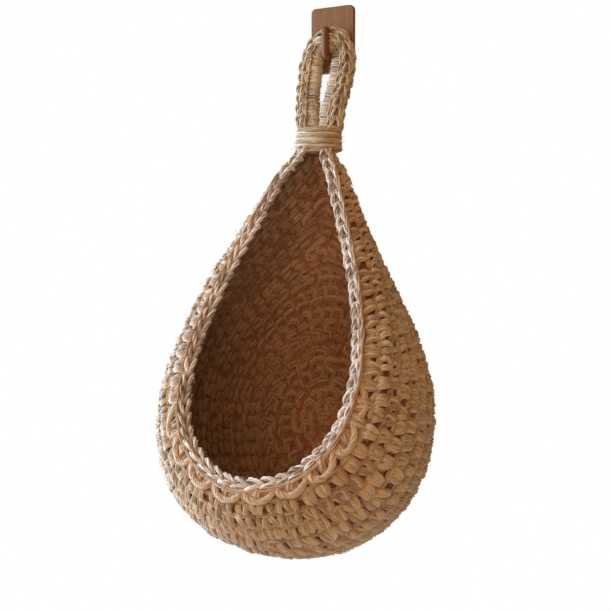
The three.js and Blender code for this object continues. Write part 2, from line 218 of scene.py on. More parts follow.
@dataclass(frozen=True)
class JuteYarn(Finish):
    """Loosely spun jute: long dull bast fibres with a silky sheen, with painted shade that darkens it deep in
    the fabric between strands.
    """

    pale: str
    tan: str
    shadow: str
    streak: float = 0.55 * MM  # width of a bundle of fibres, drawn coarser than the real 0.1 mm to show
    streak_length: float = 7 * MM
    cloud: float = 26 * MM  # size of the paler and darker patches
    streak_weight: float = 1.1  # share of the colour that the bundles of fibres decide
    cloud_weight: float = 0.3  # the same for the patches
    strand_weight: float = 0.35  # the same for each strand's own tone
    bump: float = 0.38 * MM
    roughness: float = 0.82
    sheen: float = 0.5
    glint: str = "#F4E8DC"  # colour of the sheen

    def shade(self, tree: bpy.types.NodeTree) -> bpy.types.Node:
        """Lays out the nodes, which read the yarn's UV map and its depth and tone attributes.

        Args:
            tree: The node tree that they go into.

        Returns:
            The shader.
        """
        place = add_node(tree, "ShaderNodeTexCoord")
        stretch = add_node(tree, "ShaderNodeMapping", {"Scale": (1 / self.streak_length, 1 / self.streak, 1)},
                           {"Vector": place.outputs["UV"]})
        streaks = add_node(tree, "ShaderNodeTexNoise", {"Scale": 1.0, "Detail": 3.0, "Roughness": 0.6},
                           {"Vector": stretch.outputs["Vector"]})
        cloud = add_node(tree, "ShaderNodeTexNoise", {"Scale": 1 / self.cloud, "Detail": 2.0},
                         {"Vector": place.outputs["Object"]})
        tone = add_node(tree, "ShaderNodeAttribute", attribute_name="tone")
        parts = [add_node(tree, "ShaderNodeMath", {1: weight}, {0: node.outputs["Fac"]}, operation="MULTIPLY")
                 for node, weight in (
                     (streaks, self.streak_weight), (cloud, self.cloud_weight), (tone, self.strand_weight))]
        share = parts[0]
        for part in parts[1:]:
            share = add_node(tree, "ShaderNodeMath", links={0: share.outputs[0], 1: part.outputs[0]},
                             operation="ADD")
        colour = add_node(tree, "ShaderNodeValToRGB", links={"Fac": share.outputs[0]}, stops=(
            (0.62, linear(self.shadow)), (0.84, linear(self.tan)), (1.0, linear(self.pale))))
        # Painted shade: the colour is darkened towards the shade colour as the depth attribute grows, for the
        # shade deep in the fabric.
        depth = add_node(tree, "ShaderNodeAttribute", attribute_name="depth")
        dark = add_node(tree, "ShaderNodeValToRGB", links={"Fac": depth.outputs["Fac"]},
                        stops=((0.0, WHITE), (1.0, PAINTED_SHADE)))
        base = add_node(tree, "ShaderNodeMix", {"Factor": 1.0},
                        {"A": colour.outputs["Color"], "B": dark.outputs["Color"]},
                        data_type="RGBA", blend_type="MULTIPLY")
        bump = add_node(tree, "ShaderNodeBump", {"Strength": 0.8, "Distance": self.bump},
                        {"Height": streaks.outputs["Fac"]})
        return add_node(tree, "ShaderNodeBsdfPrincipled",
                        {"Roughness": self.roughness, "Sheen Weight": self.sheen, "Sheen Roughness": 0.5,
                         "Sheen Tint": linear(self.glint), "Specular IOR Level": 0.3},
                        {"Base Color": base.outputs["Result"], "Normal": bump.outputs["Normal"]})


@dataclass(frozen=True)
class StainedWood(Finish):
    """Stained beech: straight fine grain with short dark flecks under a thin matt varnish."""

    light: str
    dark: str
    grain: float = 1.6 * MM  # width of a band of grain
    grain_length: float = 38 * MM
    roughness: float = 0.55
    bump: float = 0.08 * MM
    fleck: Colour = (0.66, 0.6, 0.56, 1.0)  # what a dark fleck leaves of the colour

    def shade(self, tree: bpy.types.NodeTree) -> bpy.types.Node:
        """Lays out the nodes, with the grain running up and down.

        Args:
            tree: The node tree that they go into.

        Returns:
            The shader.
        """
        place = add_node(tree, "ShaderNodeTexCoord")
        stretch = add_node(tree, "ShaderNodeMapping",
                           {"Scale": (1 / self.grain, 1 / self.grain, 1 / self.grain_length)},
                           {"Vector": place.outputs["Object"]})
        bands = add_node(tree, "ShaderNodeTexNoise",
                         {"Scale": 0.6, "Detail": 4.0, "Roughness": 0.6, "Distortion": 0.6},
                         {"Vector": stretch.outputs["Vector"]})
        flecks = add_node(tree, "ShaderNodeTexNoise", {"Scale": 3.2, "Detail": 2.0},
                          {"Vector": stretch.outputs["Vector"]})
        colour = add_node(tree, "ShaderNodeValToRGB", links={"Fac": bands.outputs["Fac"]},
                          stops=((0.32, linear(self.dark)), (0.68, linear(self.light))))
        fine = add_node(tree, "ShaderNodeValToRGB", links={"Fac": flecks.outputs["Fac"]},
                        stops=((0.36, self.fleck), (0.5, WHITE)))
        base = add_node(tree, "ShaderNodeMix", {"Factor": 0.5},
                        {"A": colour.outputs["Color"], "B": fine.outputs["Color"]},
                        data_type="RGBA", blend_type="MULTIPLY")
        gloss = add_node(tree, "ShaderNodeMapRange",
                         {"To Min": self.roughness + 0.1, "To Max": self.roughness - 0.08},
                         {"Value": bands.outputs["Fac"]})
        bump = add_node(tree, "ShaderNodeBump", {"Strength": 0.4, "Distance": self.bump},
                        {"Height": flecks.outputs["Fac"]})
        return add_node(tree, "ShaderNodeBsdfPrincipled",
                        {"Coat Weight": 0.05, "Coat Roughness": 0.4, "Specular IOR Level": 0.35},
                        {"Base Color": base.outputs["Result"], "Roughness": gloss.outputs["Result"],
                         "Normal": bump.outputs["Normal"]})


@dataclass(frozen=True)
class FoamTape(Finish):
    """White closed-cell acrylic foam tape, die cut: fine pored and matt."""

    hollow: str = "#CFCCC4"
    skin: str = "#E8E6E0"
    pore: float = 0.5 * MM  # from one pore to the next
    bump: float = 0.1 * MM

    def shade(self, tree: bpy.types.NodeTree) -> bpy.types.Node:
        """Lays out the nodes.

        Args:
            tree: The node tree that they go into.

        Returns:
            The shader.
        """
        place = add_node(tree, "ShaderNodeTexCoord")
        pores = add_node(tree, "ShaderNodeTexVoronoi", {"Scale": 1 / self.pore},
                         {"Vector": place.outputs["Object"]})
        colour = add_node(tree, "ShaderNodeValToRGB", links={"Fac": pores.outputs["Distance"]},
                          stops=((0.0, linear(self.hollow)), (0.4, linear(self.skin))))
        bump = add_node(tree, "ShaderNodeBump", {"Strength": 0.3, "Distance": self.bump},
                        {"Height": pores.outputs["Distance"]})
        return add_node(tree, "ShaderNodeBsdfPrincipled", {"Roughness": 0.9},
                        {"Base Color": colour.outputs["Color"], "Normal": bump.outputs["Normal"]})


@dataclass(frozen=True)
class FloorPaint(Finish):
    """Pale matt floor paint, which fades to plain white in the distance."""

    colour: str = "#F4F2EE"
    fade_from: float = 0.4  # metres from the middle of the floor
    fade_to: float = 1.4
    least: float = 0.7  # share of plain white that the camera sees in the middle

    def shade(self, tree: bpy.types.NodeTree) -> bpy.types.Node:
        """Lays out the nodes.

        Args:
            tree: The node tree that they go into.

        Returns:
            The shader.
        """
        path = add_node(tree, "ShaderNodeLightPath")
        place = add_node(tree, "ShaderNodeTexCoord")
        far = add_node(tree, "ShaderNodeVectorMath", links={0: place.outputs["Object"]}, operation="LENGTH")
        fade = add_node(tree, "ShaderNodeMapRange",
                        {"From Min": self.fade_from, "From Max": self.fade_to, "To Min": self.least,
                         "To Max": 1.0},
                        {"Value": far.outputs["Value"]})
        share = add_node(tree, "ShaderNodeMath",
                         links={0: path.outputs["Is Camera Ray"], 1: fade.outputs["Result"]},
                         operation="MULTIPLY")
        paint = add_node(tree, "ShaderNodeBsdfDiffuse", {"Color": linear(self.colour)})
        glow = add_node(tree, "ShaderNodeEmission", {"Color": WHITE, "Strength": 1.0})
        return add_node(tree, "ShaderNodeMixShader",
                        links={0: share.outputs[0], 1: paint.outputs[0], 2: glow.outputs[0]})


PLATE_WOOD = StainedWood("stained_beech", light="#8C633C", dark="#79522F")
PEG_WOOD = StainedWood("dark_stained_beech", light="#834A17", dark="#60310F")
JUTE = JuteYarn("jute_yarn", pale="#CAB28C", tan="#B89C75", shadow="#896F52", sheen=0.8, glint="#F2E6D2")
# The raised round's yarn is nearly the wall's, with its pale end a touch paler as slight painted light on the
# lit loops.
POST_JUTE = JuteYarn("raised_round_jute_painted_light", pale="#CCB48E", tan="#B89972", shadow="#886D51", sheen=0.8)
STRAP_JUTE = JuteYarn("strap_jute_yarn", pale="#DCD0B0", tan="#C4B192", shadow="#8D7862")
TWINE_JUTE = JuteYarn("jute_twine", pale="#D8C59D", tan="#B49C6E", shadow="#856C4C")
# The rim's yarn is the wall's jute with light and shade painted in: paler and greyer as painted light where
# the lamp whitens the chain, and with a darker shadow end as painted shade in its gaps.
RIM_JUTE = JuteYarn("rim_jute_painted_light", pale="#F4F0E6", tan="#CCC0AE", shadow="#776248")
PAD_FOAM = FoamTape("acrylic_foam_tape")
FLOOR_PAINT = FloorPaint("pale_floor_paint")


# Surfaces that yarn is worked on


class Surface:
    """A surface with a round direction, a direction across the rounds and an outside."""

    def place(self, along: np.ndarray, share: np.ndarray, lift: np.ndarray) -> tuple[np.ndarray, np.ndarray]:
        """Finds points on or above the surface, and the unit vectors along the round there."""
        raise NotImplementedError


@dataclass
class BowlSurface(Surface):
    """The mid surface of the bowl: a stack of drop-shaped rings from the rim to the flat back."""

    height: float = 332 * MM
    reach: float = 172 * MM
    half_width: float = 111 * MM
    meridian: float = 243 * MM  # fabric length from the rim to the middle of the back
    neck_bottom: float = 0.0  # set from the frame
    wall_gap: float = 3.2 * MM  # yarn centres stay this far from the wall
    squeeze_low: float = 22 * MM  # the binding draws the fabric in from here below the neck
    squeeze_high: float = 4 * MM
    squeeze_wide: float = 0.28  # share of its width that the fabric loses inside the binding
    squeeze_deep: float = 0.3  # the same for its depth
    squeeze_middle: float = -0.205  # where it is drawn to, as a share of the reach
    innermost: float = 0.997  # stitches are placed no nearer to the middle of the back
    turns: np.ndarray = field(default_factory=lambda: np.linspace(0, 1, 721))
    table: np.ndarray | None = None
    perimeters: np.ndarray | None = None

    # One ring a row, from the rim to the middle of the back. After its share of the meridian come its top
    # and its lowest point, each as shares of the height down and of the reach out from the wall. Then come
    # its half width, how much wider it is low down than high up, how far its sides bow out from the wall,
    # and how wide its gathered top is.
    ring_shares = (
        # along, top down, top out, low down, low out, half, taper, bow, gather
        (0.0, -0.14, 0.21, 0.77, 1.0, 0.645, 1.9, 0.047, 0.055),
        (0.1, -0.11, 0.16, 0.82, 1.0, 0.82, 1.5, 0.023, 0.13),
        (0.23, -0.02, 0.13, 0.886, 0.93, 0.935, 1.3, 0.0, 0.16),
        (0.35, 0.09, 0.105, 0.945, 0.81, 1.0, 1.0, 0.006, 0.145),
        (0.47, 0.2, 0.082, 0.98, 0.62, 0.985, 0.65, 0.023, 0.105),
        (0.62, 0.325, 0.06, 1.0, 0.42, 0.875, 0.3, 0.035, 0.055),
        (0.8, 0.5, 0.036, 0.935, 0.19, 0.61, 0.1, 0.03, 0.01),
        (1.0, 0.7, 0.0235, 0.7, 0.0235, 0.0, 0.0, 0.0, 0.0),
    )

    def __post_init__(self) -> None:
        """Measures the rings, so that stitches can be spaced evenly by arc length."""
        rings = np.linspace(0, 1, 101)
        points = self.place_raw(*np.meshgrid(rings, self.turns, indexing="ij"))
        lengths = np.linalg.norm(np.diff(points, axis=1), axis=2)
        self.perimeters = lengths.sum(1)
        rows = []
        for row in range(len(rings)):
            used = min(row, len(rings) - 3)  # the last rings shrink to a point
            reached = np.concatenate([[0], np.cumsum(lengths[used])]) / self.perimeters[used]
            rows.append(np.interp(self.turns, reached, self.turns))
        self.table = np.array(rows)

    def ring(self, along: np.ndarray) -> list[np.ndarray]:
        """Reads every column of the ring table on smooth curves.

        Args:
            along: Shares of the meridian from the rim.

        Returns:
            One array for each column after the first.
        """
        knots = np.array(self.ring_shares)
        last = len(knots) - 1
        before = knots[np.maximum(np.arange(last + 1) - 1, 0)]
        after = knots[np.minimum(np.arange(last + 1) + 1, last)]
        slopes = (after[:, 1:] - before[:, 1:]) / (after[:, :1] - before[:, :1])
        at = np.clip(np.searchsorted(knots[:, 0], along, side="left") - 1, 0, last - 1)
        span = knots[at + 1, 0] - knots[at, 0]
        t = (along - knots[at, 0]) / span
        rise = t * t * (3 - 2 * t)
        leave = t * (1 - t) ** 2 * span
        arrive = t * t * (1 - t) * span
        return [knots[at, column + 1] + (knots[at + 1, column + 1] - knots[at, column + 1]) * rise
                + leave * slopes[at, column] - arrive * slopes[at + 1, column]
                for column in range(slopes.shape[1])]

    def place_raw(self, along: np.ndarray, turn: np.ndarray) -> np.ndarray:
        """Finds points of the mid surface.

        Args:
            along: Share of the meridian from the rim.
            turn: Once round from the neck by the right side and the lip.

        Returns:
            The points, in metres.
        """
        top_down, top_out, low_down, low_out, half, taper, bow, gather = self.ring(along)
        angle = turn * 2 * np.pi
        drop = np.sin(angle / 2) ** 2
        sine, cosine = np.abs(np.sin(angle / 2)), np.abs(np.cos(angle / 2))
        peak = ((taper + 1) / (taper + 2)) ** ((taper + 1) / 2) / np.sqrt(taper + 2)
        body = half * sine ** (taper + 1) * cosine / peak
        swing = np.abs(np.sin(angle))
        pinch = gather * np.sqrt(swing) * (1 - drop) ** 2
        x = np.sign(np.sin(angle)) * self.half_width * np.hypot(body, pinch)
        y = -self.reach * (top_out + (low_out - top_out) * drop - bow * swing)
        z = self.neck_bottom - self.height * (top_down + (low_down - top_down) * drop)
        return np.stack([x, y, z], -1)

    def turn_at(self, along: np.ndarray, share: np.ndarray) -> np.ndarray:
        """Finds the turn at which a share of a ring's length is reached.

        Args:
            along: Share of the meridian from the rim.
            share: Share of the ring's length, where one is once round.

        Returns:
            The turn, as place_raw takes it.
        """
        whole = np.floor(share)
        rows, columns = self.table.shape
        row = np.clip(along, 0, 1) * (rows - 1)
        column = (share - whole) * (columns - 1)
        above = np.minimum(row.astype(int), rows - 2)
        left = np.minimum(column.astype(int), columns - 2)
        down, right = row - above, column - left
        upper, lower = (self.table[at, left] * (1 - right) + self.table[at, left + 1] * right
                        for at in (above, above + 1))
        return whole + upper * (1 - down) + lower * down

    def axes(self, along: np.ndarray, turn: np.ndarray) -> tuple[np.ndarray, np.ndarray, np.ndarray]:
        """Finds which way the fabric runs.

        Args:
            along: Share of the meridian from the rim.
            turn: Place round, as place_raw takes it.

        Returns:
            The unit vectors along the round, towards the back along the fabric, and out of the bowl.
        """
        step = 1 / 400
        here = np.clip(along, step, 1 - 2 * step)
        across = self.place_raw(here + step, turn) - self.place_raw(here - step, turn)
        around = unit(self.place_raw(here, turn + step) - self.place_raw(here, turn - step))
        out = unit(np.cross(around, across))
        return around, unit(across), out

    def settle(self, points: np.ndarray) -> np.ndarray:
        """Draws points in under the binding and keeps them off the wall.

        Args:
            points: Points in metres, changed in place.

        Returns:
            The same points.
        """
        draw = smooth_share(points[..., 2] - self.neck_bottom, -self.squeeze_low, self.squeeze_high)
        middle = self.squeeze_middle * self.reach
        points[..., 0] *= 1 - self.squeeze_wide * draw
        points[..., 1] = middle + (points[..., 1] - middle) * (1 - self.squeeze_deep * draw)
        points[..., 1] = np.minimum(points[..., 1], -self.wall_gap)
        return points

    def place(self, along: np.ndarray, share: np.ndarray, lift: np.ndarray) -> tuple[np.ndarray, np.ndarray]:
        """Finds points on or above the fabric, which goes on straight past the rim.

        Args:
            along: Share of the meridian from the rim.
            share: Share of the ring's length, where one is once round.
            lift: Height above the mid surface, in metres.

        Returns:
            The points, and the unit vectors along the round there.
        """
        inside = np.clip(along, 0, self.innermost)
        turn = self.turn_at(inside, share)
        around, across, out = self.axes(inside, turn)
        points = self.place_raw(inside, turn) + across * ((along - inside) * self.meridian)[..., None]
        points = points + out * lift[..., None]
        return self.settle(points), around


@dataclass
class LoopSurface(Surface):
    """The flat oval tube of the hanging loop, up one leg and down the other."""

    arm_height: float = 0.0
    foot_height: float = 0.0
    middle_out: float = 0.0
    neck_out: float = 0.0
    leg_width: float = 21.5 * MM
    crown_width: float = 19.5 * MM  # of the band that goes round the arm
    seat: float = 4.3 * MM  # from the arm's axis to the band
    thickness: float = 11.4 * MM
    eye_half: float = 3.75 * MM
    foot_half: float = 9.4 * MM  # from the middle of the loop to the middle of each leg, in the neck
    yarn_room: float = 2.5 * MM  # what the yarn adds to each side of the section
    yarn_depth: float = 2.2 * MM  # what it adds in front and behind
    overlap: float = 0.6 * MM  # how far the band reaches over the eye's edge
    # Where the section changes: place along the loop, spread, and the change of its width and of its front.
    changes: tuple[tuple[float, float, float, float], ...] = (
        (0.535, 0.035, 0.22, 0.7),  # it folds into a bulge beside the peg's tip
        (0.585, 0.016, -0.14, -0.5),  # it is creased next to the bulge
        (0.46, 0.075, -0.3, 0.0),  # it is narrower where it goes over the arm
    )
    squareness: float = 0.75  # power of the section's curve, where one is an oval
    sag: float = 1.2 * MM  # how far the soft loop has slid to the left on the arm
    samples: int = 241
    route: np.ndarray | None = None
    length: float = 0.0

    def __post_init__(self) -> None:
        """Lays the middle line of the loop."""
        leg = self.eye_half + self.leg_width / 2 - self.overlap
        crown = self.seat + self.crown_width / 2 - self.overlap
        low, arm = self.foot_height, self.arm_height
        rise = arm - low
        right = [(self.foot_half, low), (self.foot_half + 1.0 * MM, low + 0.22 * rise),
                 (self.foot_half + 2.3 * MM, low + 0.4 * rise), (leg - 0.9 * MM, low + 0.56 * rise),
                 (leg, low + 0.76 * rise), (crown + 0.6 * MM, low + 0.92 * rise)]
        arc = [(crown * math.cos(a), arm + crown * math.sin(a)) for a in np.linspace(0, math.pi, 9)]
        left = [(-x, z) for x, z in right]
        flat = spline(np.array([*left, *arc[::-1], *right[::-1]]), 40, closed=False)
        reached = np.concatenate([[0], np.cumsum(np.linalg.norm(np.diff(flat, axis=0), axis=1))])
        even = np.linspace(0, reached[-1], self.samples)
        self.route = np.stack([np.interp(even, reached, flat[:, 0]), np.interp(even, reached, flat[:, 1])], 1)
        self.route[:, 0] -= self.sag * smooth_share(self.route[:, 1], low, low + 0.4 * rise)
        self.length = float(reached[-1])

    def lean(self, height: np.ndarray) -> np.ndarray:
        """Gives how far from the wall the middle of the loop lies.

        Args:
            height: Height in metres.

        Returns:
            Its place from the front to the back, in metres.
        """
        fall = np.clip(self.arm_height - height, 0, None) / (self.arm_height - self.foot_height)
        share = 0.55 * fall + 0.45 * smooth_share(fall, 0, 1)
        return self.middle_out + (self.neck_out - self.middle_out) * share

    def centre(self, at: np.ndarray) -> np.ndarray:
        """Reads the middle line at places that are counted in its samples."""
        x, z = (np.interp(at, np.arange(self.samples), self.route[:, axis]) for axis in (0, 1))
        return np.stack([x, self.lean(z), z], -1)

    def place(self, along: np.ndarray, share: np.ndarray, lift: np.ndarray) -> tuple[np.ndarray, np.ndarray]:
        """Finds points on or above the oval tube.

        Args:
            along: Place round the section, where one is once round.
            share: Place along the loop, from one foot to the other.
            lift: Height above the tube, in metres.

        Returns:
            The points, and the unit vectors along the loop there.
        """
        at = np.clip(share, 0, 1) * (self.samples - 1)
        step = 0.75
        behind, beyond = (self.centre(np.clip(at + shift, 0, self.samples - 1)) for shift in (-step, step))
        ahead = unit(beyond - behind)
        wall = np.stack([0 * at, 0 * at + 1, 0 * at], -1)
        side = unit(np.cross(wall, ahead))
        face = np.cross(ahead, side)
        angle = along * 2 * np.pi
        cosine, sine = np.cos(angle), np.sin(angle)
        half_width, half_depth = self.leg_width / 2 - self.yarn_room, self.thickness / 2 - self.yarn_depth
        wider, deeper = 1.0, 1.0
        for middle, spread, width, front in self.changes:
            near = np.exp(-((share - middle) / spread) ** 2)
            wider = wider + width * near
            deeper = deeper + np.where(sine < 0, front * near, 0)
        x = np.sign(cosine) * np.abs(cosine) ** self.squareness * half_width * wider
        y = np.sign(sine) * np.abs(sine) ** self.squareness * half_depth * deeper
        normal = unit(side * (cosine / half_width)[..., None] + face * (sine / half_depth)[..., None])
        points = self.centre(at) + side * x[..., None] + face * y[..., None] + normal * lift[..., None]
        return points, ahead


# Yarn


@dataclass(frozen=True)
class Yarn:
    """How a yarn is made up: strands that lie beside each other and turn slowly round its middle."""

    strands: int = 5
    spread_wide: float = 2.15 * MM  # from the yarn's middle to a strand's, along the fabric
    spread_deep: float = 0.95 * MM  # the same through the fabric
    radius: float = 1.75 * MM
    sides: int = 4
    turns_per_stitch: float = 1.0
    stray: float = 0.35 * MM  # how far a strand wanders from its place
    bend: float = 5.0  # points of the line that it takes for each bend on the way
    settled: float = 6.0  # points from each end over which it begins to wander
    swelling: float = 0.12  # how much thicker and thinner it gets


def grid_quads(rings: int, sides: int, closed: bool) -> tuple[np.ndarray, np.ndarray, np.ndarray]:
    """Joins rings of points into a tube.

    Args:
        rings: The number of rings.
        sides: The number of points in each.
        closed: Whether the last ring is joined to the first.

    Returns:
        The corners of each quad, the ring that it starts from and its place in that ring.
    """
    row, column = np.meshgrid(np.arange(rings if closed else rings - 1), np.arange(sides), indexing="ij")
    beside, beyond = (column + 1) % sides, (row + 1) % rings
    corners = ((row, column), (row, beside), (beyond, beside), (beyond, column))
    return np.stack([ring * sides + place for ring, place in corners], -1).reshape(-1, 4), row, column


# One link of a chain: place along it in links, then millimetres to the side and out of its face.
LINK = (
    (-0.05, 0.0, -1.6), (0.28, -0.9, 0.9), (0.72, -2.1, 1.9), (1.12, -2.8, 1.2), (1.32, -1.6, -1.2),
    (1.32, 1.6, -1.2), (1.12, 2.8, 1.2), (0.72, 2.1, 1.9), (0.28, 0.9, 0.9),
)


class YarnMesh:
    """Gathers tubes and makes them one mesh with a UV map in metres and its shading attributes."""

    fibre_radius = 0.22 * MM  # of a loose fibre near its root, drawn thicker than a real one to show

    def __init__(self, rng: np.random.Generator) -> None:
        """Starts with no tubes.

        Args:
            rng: Source of the random numbers for all that is added.
        """
        self.rng = rng
        self.points: list[np.ndarray] = []
        self.faces: list[np.ndarray] = []
        self.uvs: list[np.ndarray] = []
        self.depths: list[np.ndarray] = []
        self.tones: list[np.ndarray] = []
        self.count = 0

    def tube(self, centre: np.ndarray, side: np.ndarray, up: np.ndarray, radius: np.ndarray, sides: int,
             closed: bool, depth: np.ndarray, tone: float) -> None:
        """Adds one tube.

        Args:
            centre: Its middle line, one row for each ring of points.
            side: Unit vector across it at each ring.
            up: Unit vector across it, square to side.
            radius: Radius at each ring.
            sides: How many sides it has.
            closed: Whether it runs back into its start.
            depth: How deep in the fabric each ring lies, from 0 to 1.
            tone: Its own lightness, from 0 to 1.
        """
        angle = np.arange(sides) / sides * 2 * np.pi
        spokes = side[:, None, :] * np.cos(angle)[:, None] + up[:, None, :] * np.sin(angle)[:, None]
        self.skin(centre[:, None, :] + spokes * radius[:, None, None], closed, depth, tone)

    def skin(self, grid: np.ndarray, closed: bool, depth: np.ndarray, tone: float) -> None:
        """Adds a tube by its rings of points.

        Args:
            grid: Rings of points, each ring turning from side to up.
            closed: Whether it runs back into its start.
            depth: How deep in the fabric each ring lies, from 0 to 1.
            tone: Its own lightness, from 0 to 1.
        """
        rings, sides = grid.shape[:2]
        centre, points = grid.mean(1), grid.reshape(-1, 3)
        quads, row, column = grid_quads(rings, sides, closed)
        steps = np.linalg.norm(np.diff(centre, axis=0, append=centre[:1]), axis=1)
        reached = np.concatenate([[0], np.cumsum(steps)])
        girth = 2 * np.pi * float(np.linalg.norm(grid - centre[:, None, :], axis=2).mean())
        u = np.stack([reached[row], reached[row], reached[row + 1], reached[row + 1]], -1)
        v = np.stack([column, column + 1, column + 1, column], -1) / sides * girth
        self.faces.append(quads + self.count)
        self.uvs.append(np.stack([u, v], -1).reshape(-1, 2) + tone * 0.7)
        if not closed:
            for ring, order in ((0, -1), (rings - 1, 1)):
                cap = (np.arange(sides)[::order] + ring * sides + self.count)[None, :]
                self.faces.append(cap)
                self.uvs.append(np.zeros((sides, 2)))
        self.points.append(points)
        self.depths.append(np.repeat(depth, sides))
        self.tones.append(np.full(rings * sides, tone))
        self.count += rings * sides

    def lay(self, line: np.ndarray, across: np.ndarray, yarn: Yarn, closed: bool, turns: float,
            depth: np.ndarray, size: np.ndarray | float = 1.0) -> None:
        """Lays the strands of a yarn along a line.

        Args:
            line: The yarn's middle line.
            across: A vector at each point that the yarn's width follows.
            yarn: How the yarn is made up.
            closed: Whether the line runs back into its start.
            turns: Whole turns that the strands make along the line.
            depth: How deep in the fabric each point lies, from 0 to 1.
            size: Factor on the yarn's section.
        """
        if closed:
            tangent = unit(np.roll(line, -1, 0) - np.roll(line, 1, 0))
        else:
            tangent = unit(np.gradient(line, axis=0))
        side = unit(across - tangent * (across * tangent).sum(-1, keepdims=True))
        up = np.cross(tangent, side)
        size = np.broadcast_to(size, len(line))
        points = np.arange(len(line))
        progress = points / len(line) * turns * 2 * np.pi
        for strand in range(yarn.strands):
            angle = progress + strand / yarn.strands * 2 * np.pi
            centre = (line + side * (np.cos(angle) * yarn.spread_wide * size)[:, None]
                      + up * (np.sin(angle) * yarn.spread_deep * size)[:, None])
            free = np.minimum(1, np.minimum(points, points[::-1]) / yarn.settled)
            drift, rise, wobble = (wave(len(line), yarn.bend, self.rng) * free for _ in range(3))
            centre = centre + side * (drift * yarn.stray)[:, None] + up * (rise * yarn.stray)[:, None]
            radius = yarn.radius * size * (1 + yarn.swelling * wobble)
            self.tube(centre, side, up, radius, yarn.sides, closed, depth, float(self.rng.uniform(0, 1)))

    def chain(self, line: np.ndarray, side: np.ndarray, face: np.ndarray, pitch: float, yarn: Yarn,
              size: float) -> None:
        """Works a chain of links along a line.

        Args:
            line: The chain's middle line.
            side: Unit vector across the chain at each point.
            face: Unit vector out of its face at each point.
            pitch: Length of one link, in metres.
            yarn: How its yarn is made up.
            size: Factor on a link's width and lift.
        """
        reached = np.concatenate([[0], np.cumsum(np.linalg.norm(np.diff(line, axis=0), axis=1))])
        links = int(reached[-1] / pitch)
        for index in range(links):
            knots = np.array(LINK) * [1, 1 + self.rng.normal(0, 0.05), 1 + self.rng.normal(0, 0.08)]
            knots = knots + self.rng.normal(0, 1, 3) * [0.02, 0.15, 0.15]
            curve = spline(knots, 3, closed=True)
            along = (curve[:, 0] + index) * reached[-1] / links
            spots, sides, faces = (
                np.stack([np.interp(along, reached, values[:, axis]) for axis in range(3)], 1)
                for values in (line, side, face))
            faces = unit(faces)
            points = spots + (unit(sides) * curve[:, 1:2] + faces * curve[:, 2:3]) * size * MM
            # Painted shade: a link darkens where it dips below the chain's face, to at most 0.8.
            depth = shade_depth(curve[:, 2], 0.3, 2.0, 0.8)
            self.lay(points, faces, yarn, True, 2.0, depth)

    def fuzz(self, roots: np.ndarray, outs: np.ndarray, arounds: np.ndarray, length: float = 5 * MM,
             stand: float = 0.8) -> None:
        """Adds loose fibres that stand off the yarn in flat curves.

        Args:
            roots: Where each starts.
            outs: Which way each stands off.
            arounds: Which way each runs.
            length: Usual length of a fibre.
            stand: How far the steepest of them stand off, as a share of their run.
        """
        rng = self.rng
        for root, out, around in zip(roots, outs, arounds):
            reach = length * rng.uniform(0.5, 1.4)
            lean = around * rng.choice([-1, 1]) + out * rng.uniform(0.1, 1) * stand
            lean = unit(lean + rng.normal(0, 0.25, 3))
            curl = unit(np.cross(lean, rng.normal(0, 1, 3)))
            t = np.linspace(0, 1, 5)
            arch = out * 0.3 * stand + curl * 0.25
            line = root + lean * (t * reach)[:, None] + arch * (np.sin(t * np.pi) * reach * 0.5)[:, None]
            tangent = unit(np.gradient(line, axis=0))
            side = unit(np.cross(tangent, curl))
            radius = self.fibre_radius * (1.1 - t)
            tone = float(rng.uniform(0.5, 1))
            self.tube(line, side, np.cross(tangent, side), radius, 3, False, 0 * t, tone)

    def build(self, name: str, material: bpy.types.Material) -> bpy.types.Object:
        """Makes the mesh object.

        Args:
            name: The object's name.
            material: Its finish.

        Returns:
            The new object, in the scene.
        """
        mesh = bpy.data.meshes.new(name)
        points = np.vstack(self.points)
        loops = np.concatenate([part.ravel() for part in self.faces])
        sizes = np.concatenate([np.full(len(part), part.shape[1]) for part in self.faces])
        starts = np.concatenate([[0], np.cumsum(sizes)[:-1]])
        mesh.vertices.add(len(points))
        mesh.vertices.foreach_set("co", points.astype(np.float32).ravel())
        mesh.loops.add(len(loops))
        mesh.loops.foreach_set("vertex_index", loops.astype(np.int32))
        mesh.polygons.add(len(sizes))
        mesh.polygons.foreach_set("loop_start", starts.astype(np.int32))
        mesh.polygons.foreach_set("use_smooth", np.ones(len(sizes), bool))
        mesh.update(calc_edges=True)
        layer = mesh.uv_layers.new(name="UVMap")
        layer.data.foreach_set("uv", np.vstack(self.uvs).astype(np.float32).ravel())
        mark(mesh, np.concatenate(self.depths), np.concatenate(self.tones))
        mesh.validate()
        mesh.materials.append(material)
        return add_object(name, mesh)


# Stitches


def lie_flat(line: np.ndarray, out: np.ndarray, closed: bool) -> tuple[np.ndarray, float]:
    """Finds vectors across a line that keep a yarn flat in the fabric, without sudden turns.

    Args:
        line: The yarn's middle line.
        out: Unit vector out of the fabric at each point.
        closed: Whether the line runs back into its start.

    Returns:
        The vectors, and the half turn that a closed line still needs to meet its start.
    """
    ahead, behind = (np.roll(line, shift, 0) for shift in (-1, 1))
    if not closed:
        ahead[-1], behind[0] = line[-1], line[0]
    raw = np.cross(unit(ahead - behind), out)
    held = raw[0]
    across = np.empty_like(raw)
    for at, vector in enumerate(raw):
        if vector @ held < 0:
            vector = -vector
        held = 0.45 * held / max(float(np.linalg.norm(held)), 1e-9) + vector
        across[at] = held
    turned = closed and float(across[0] @ across[-1]) < 0
    return unit(across), 0.5 if turned else 0.0


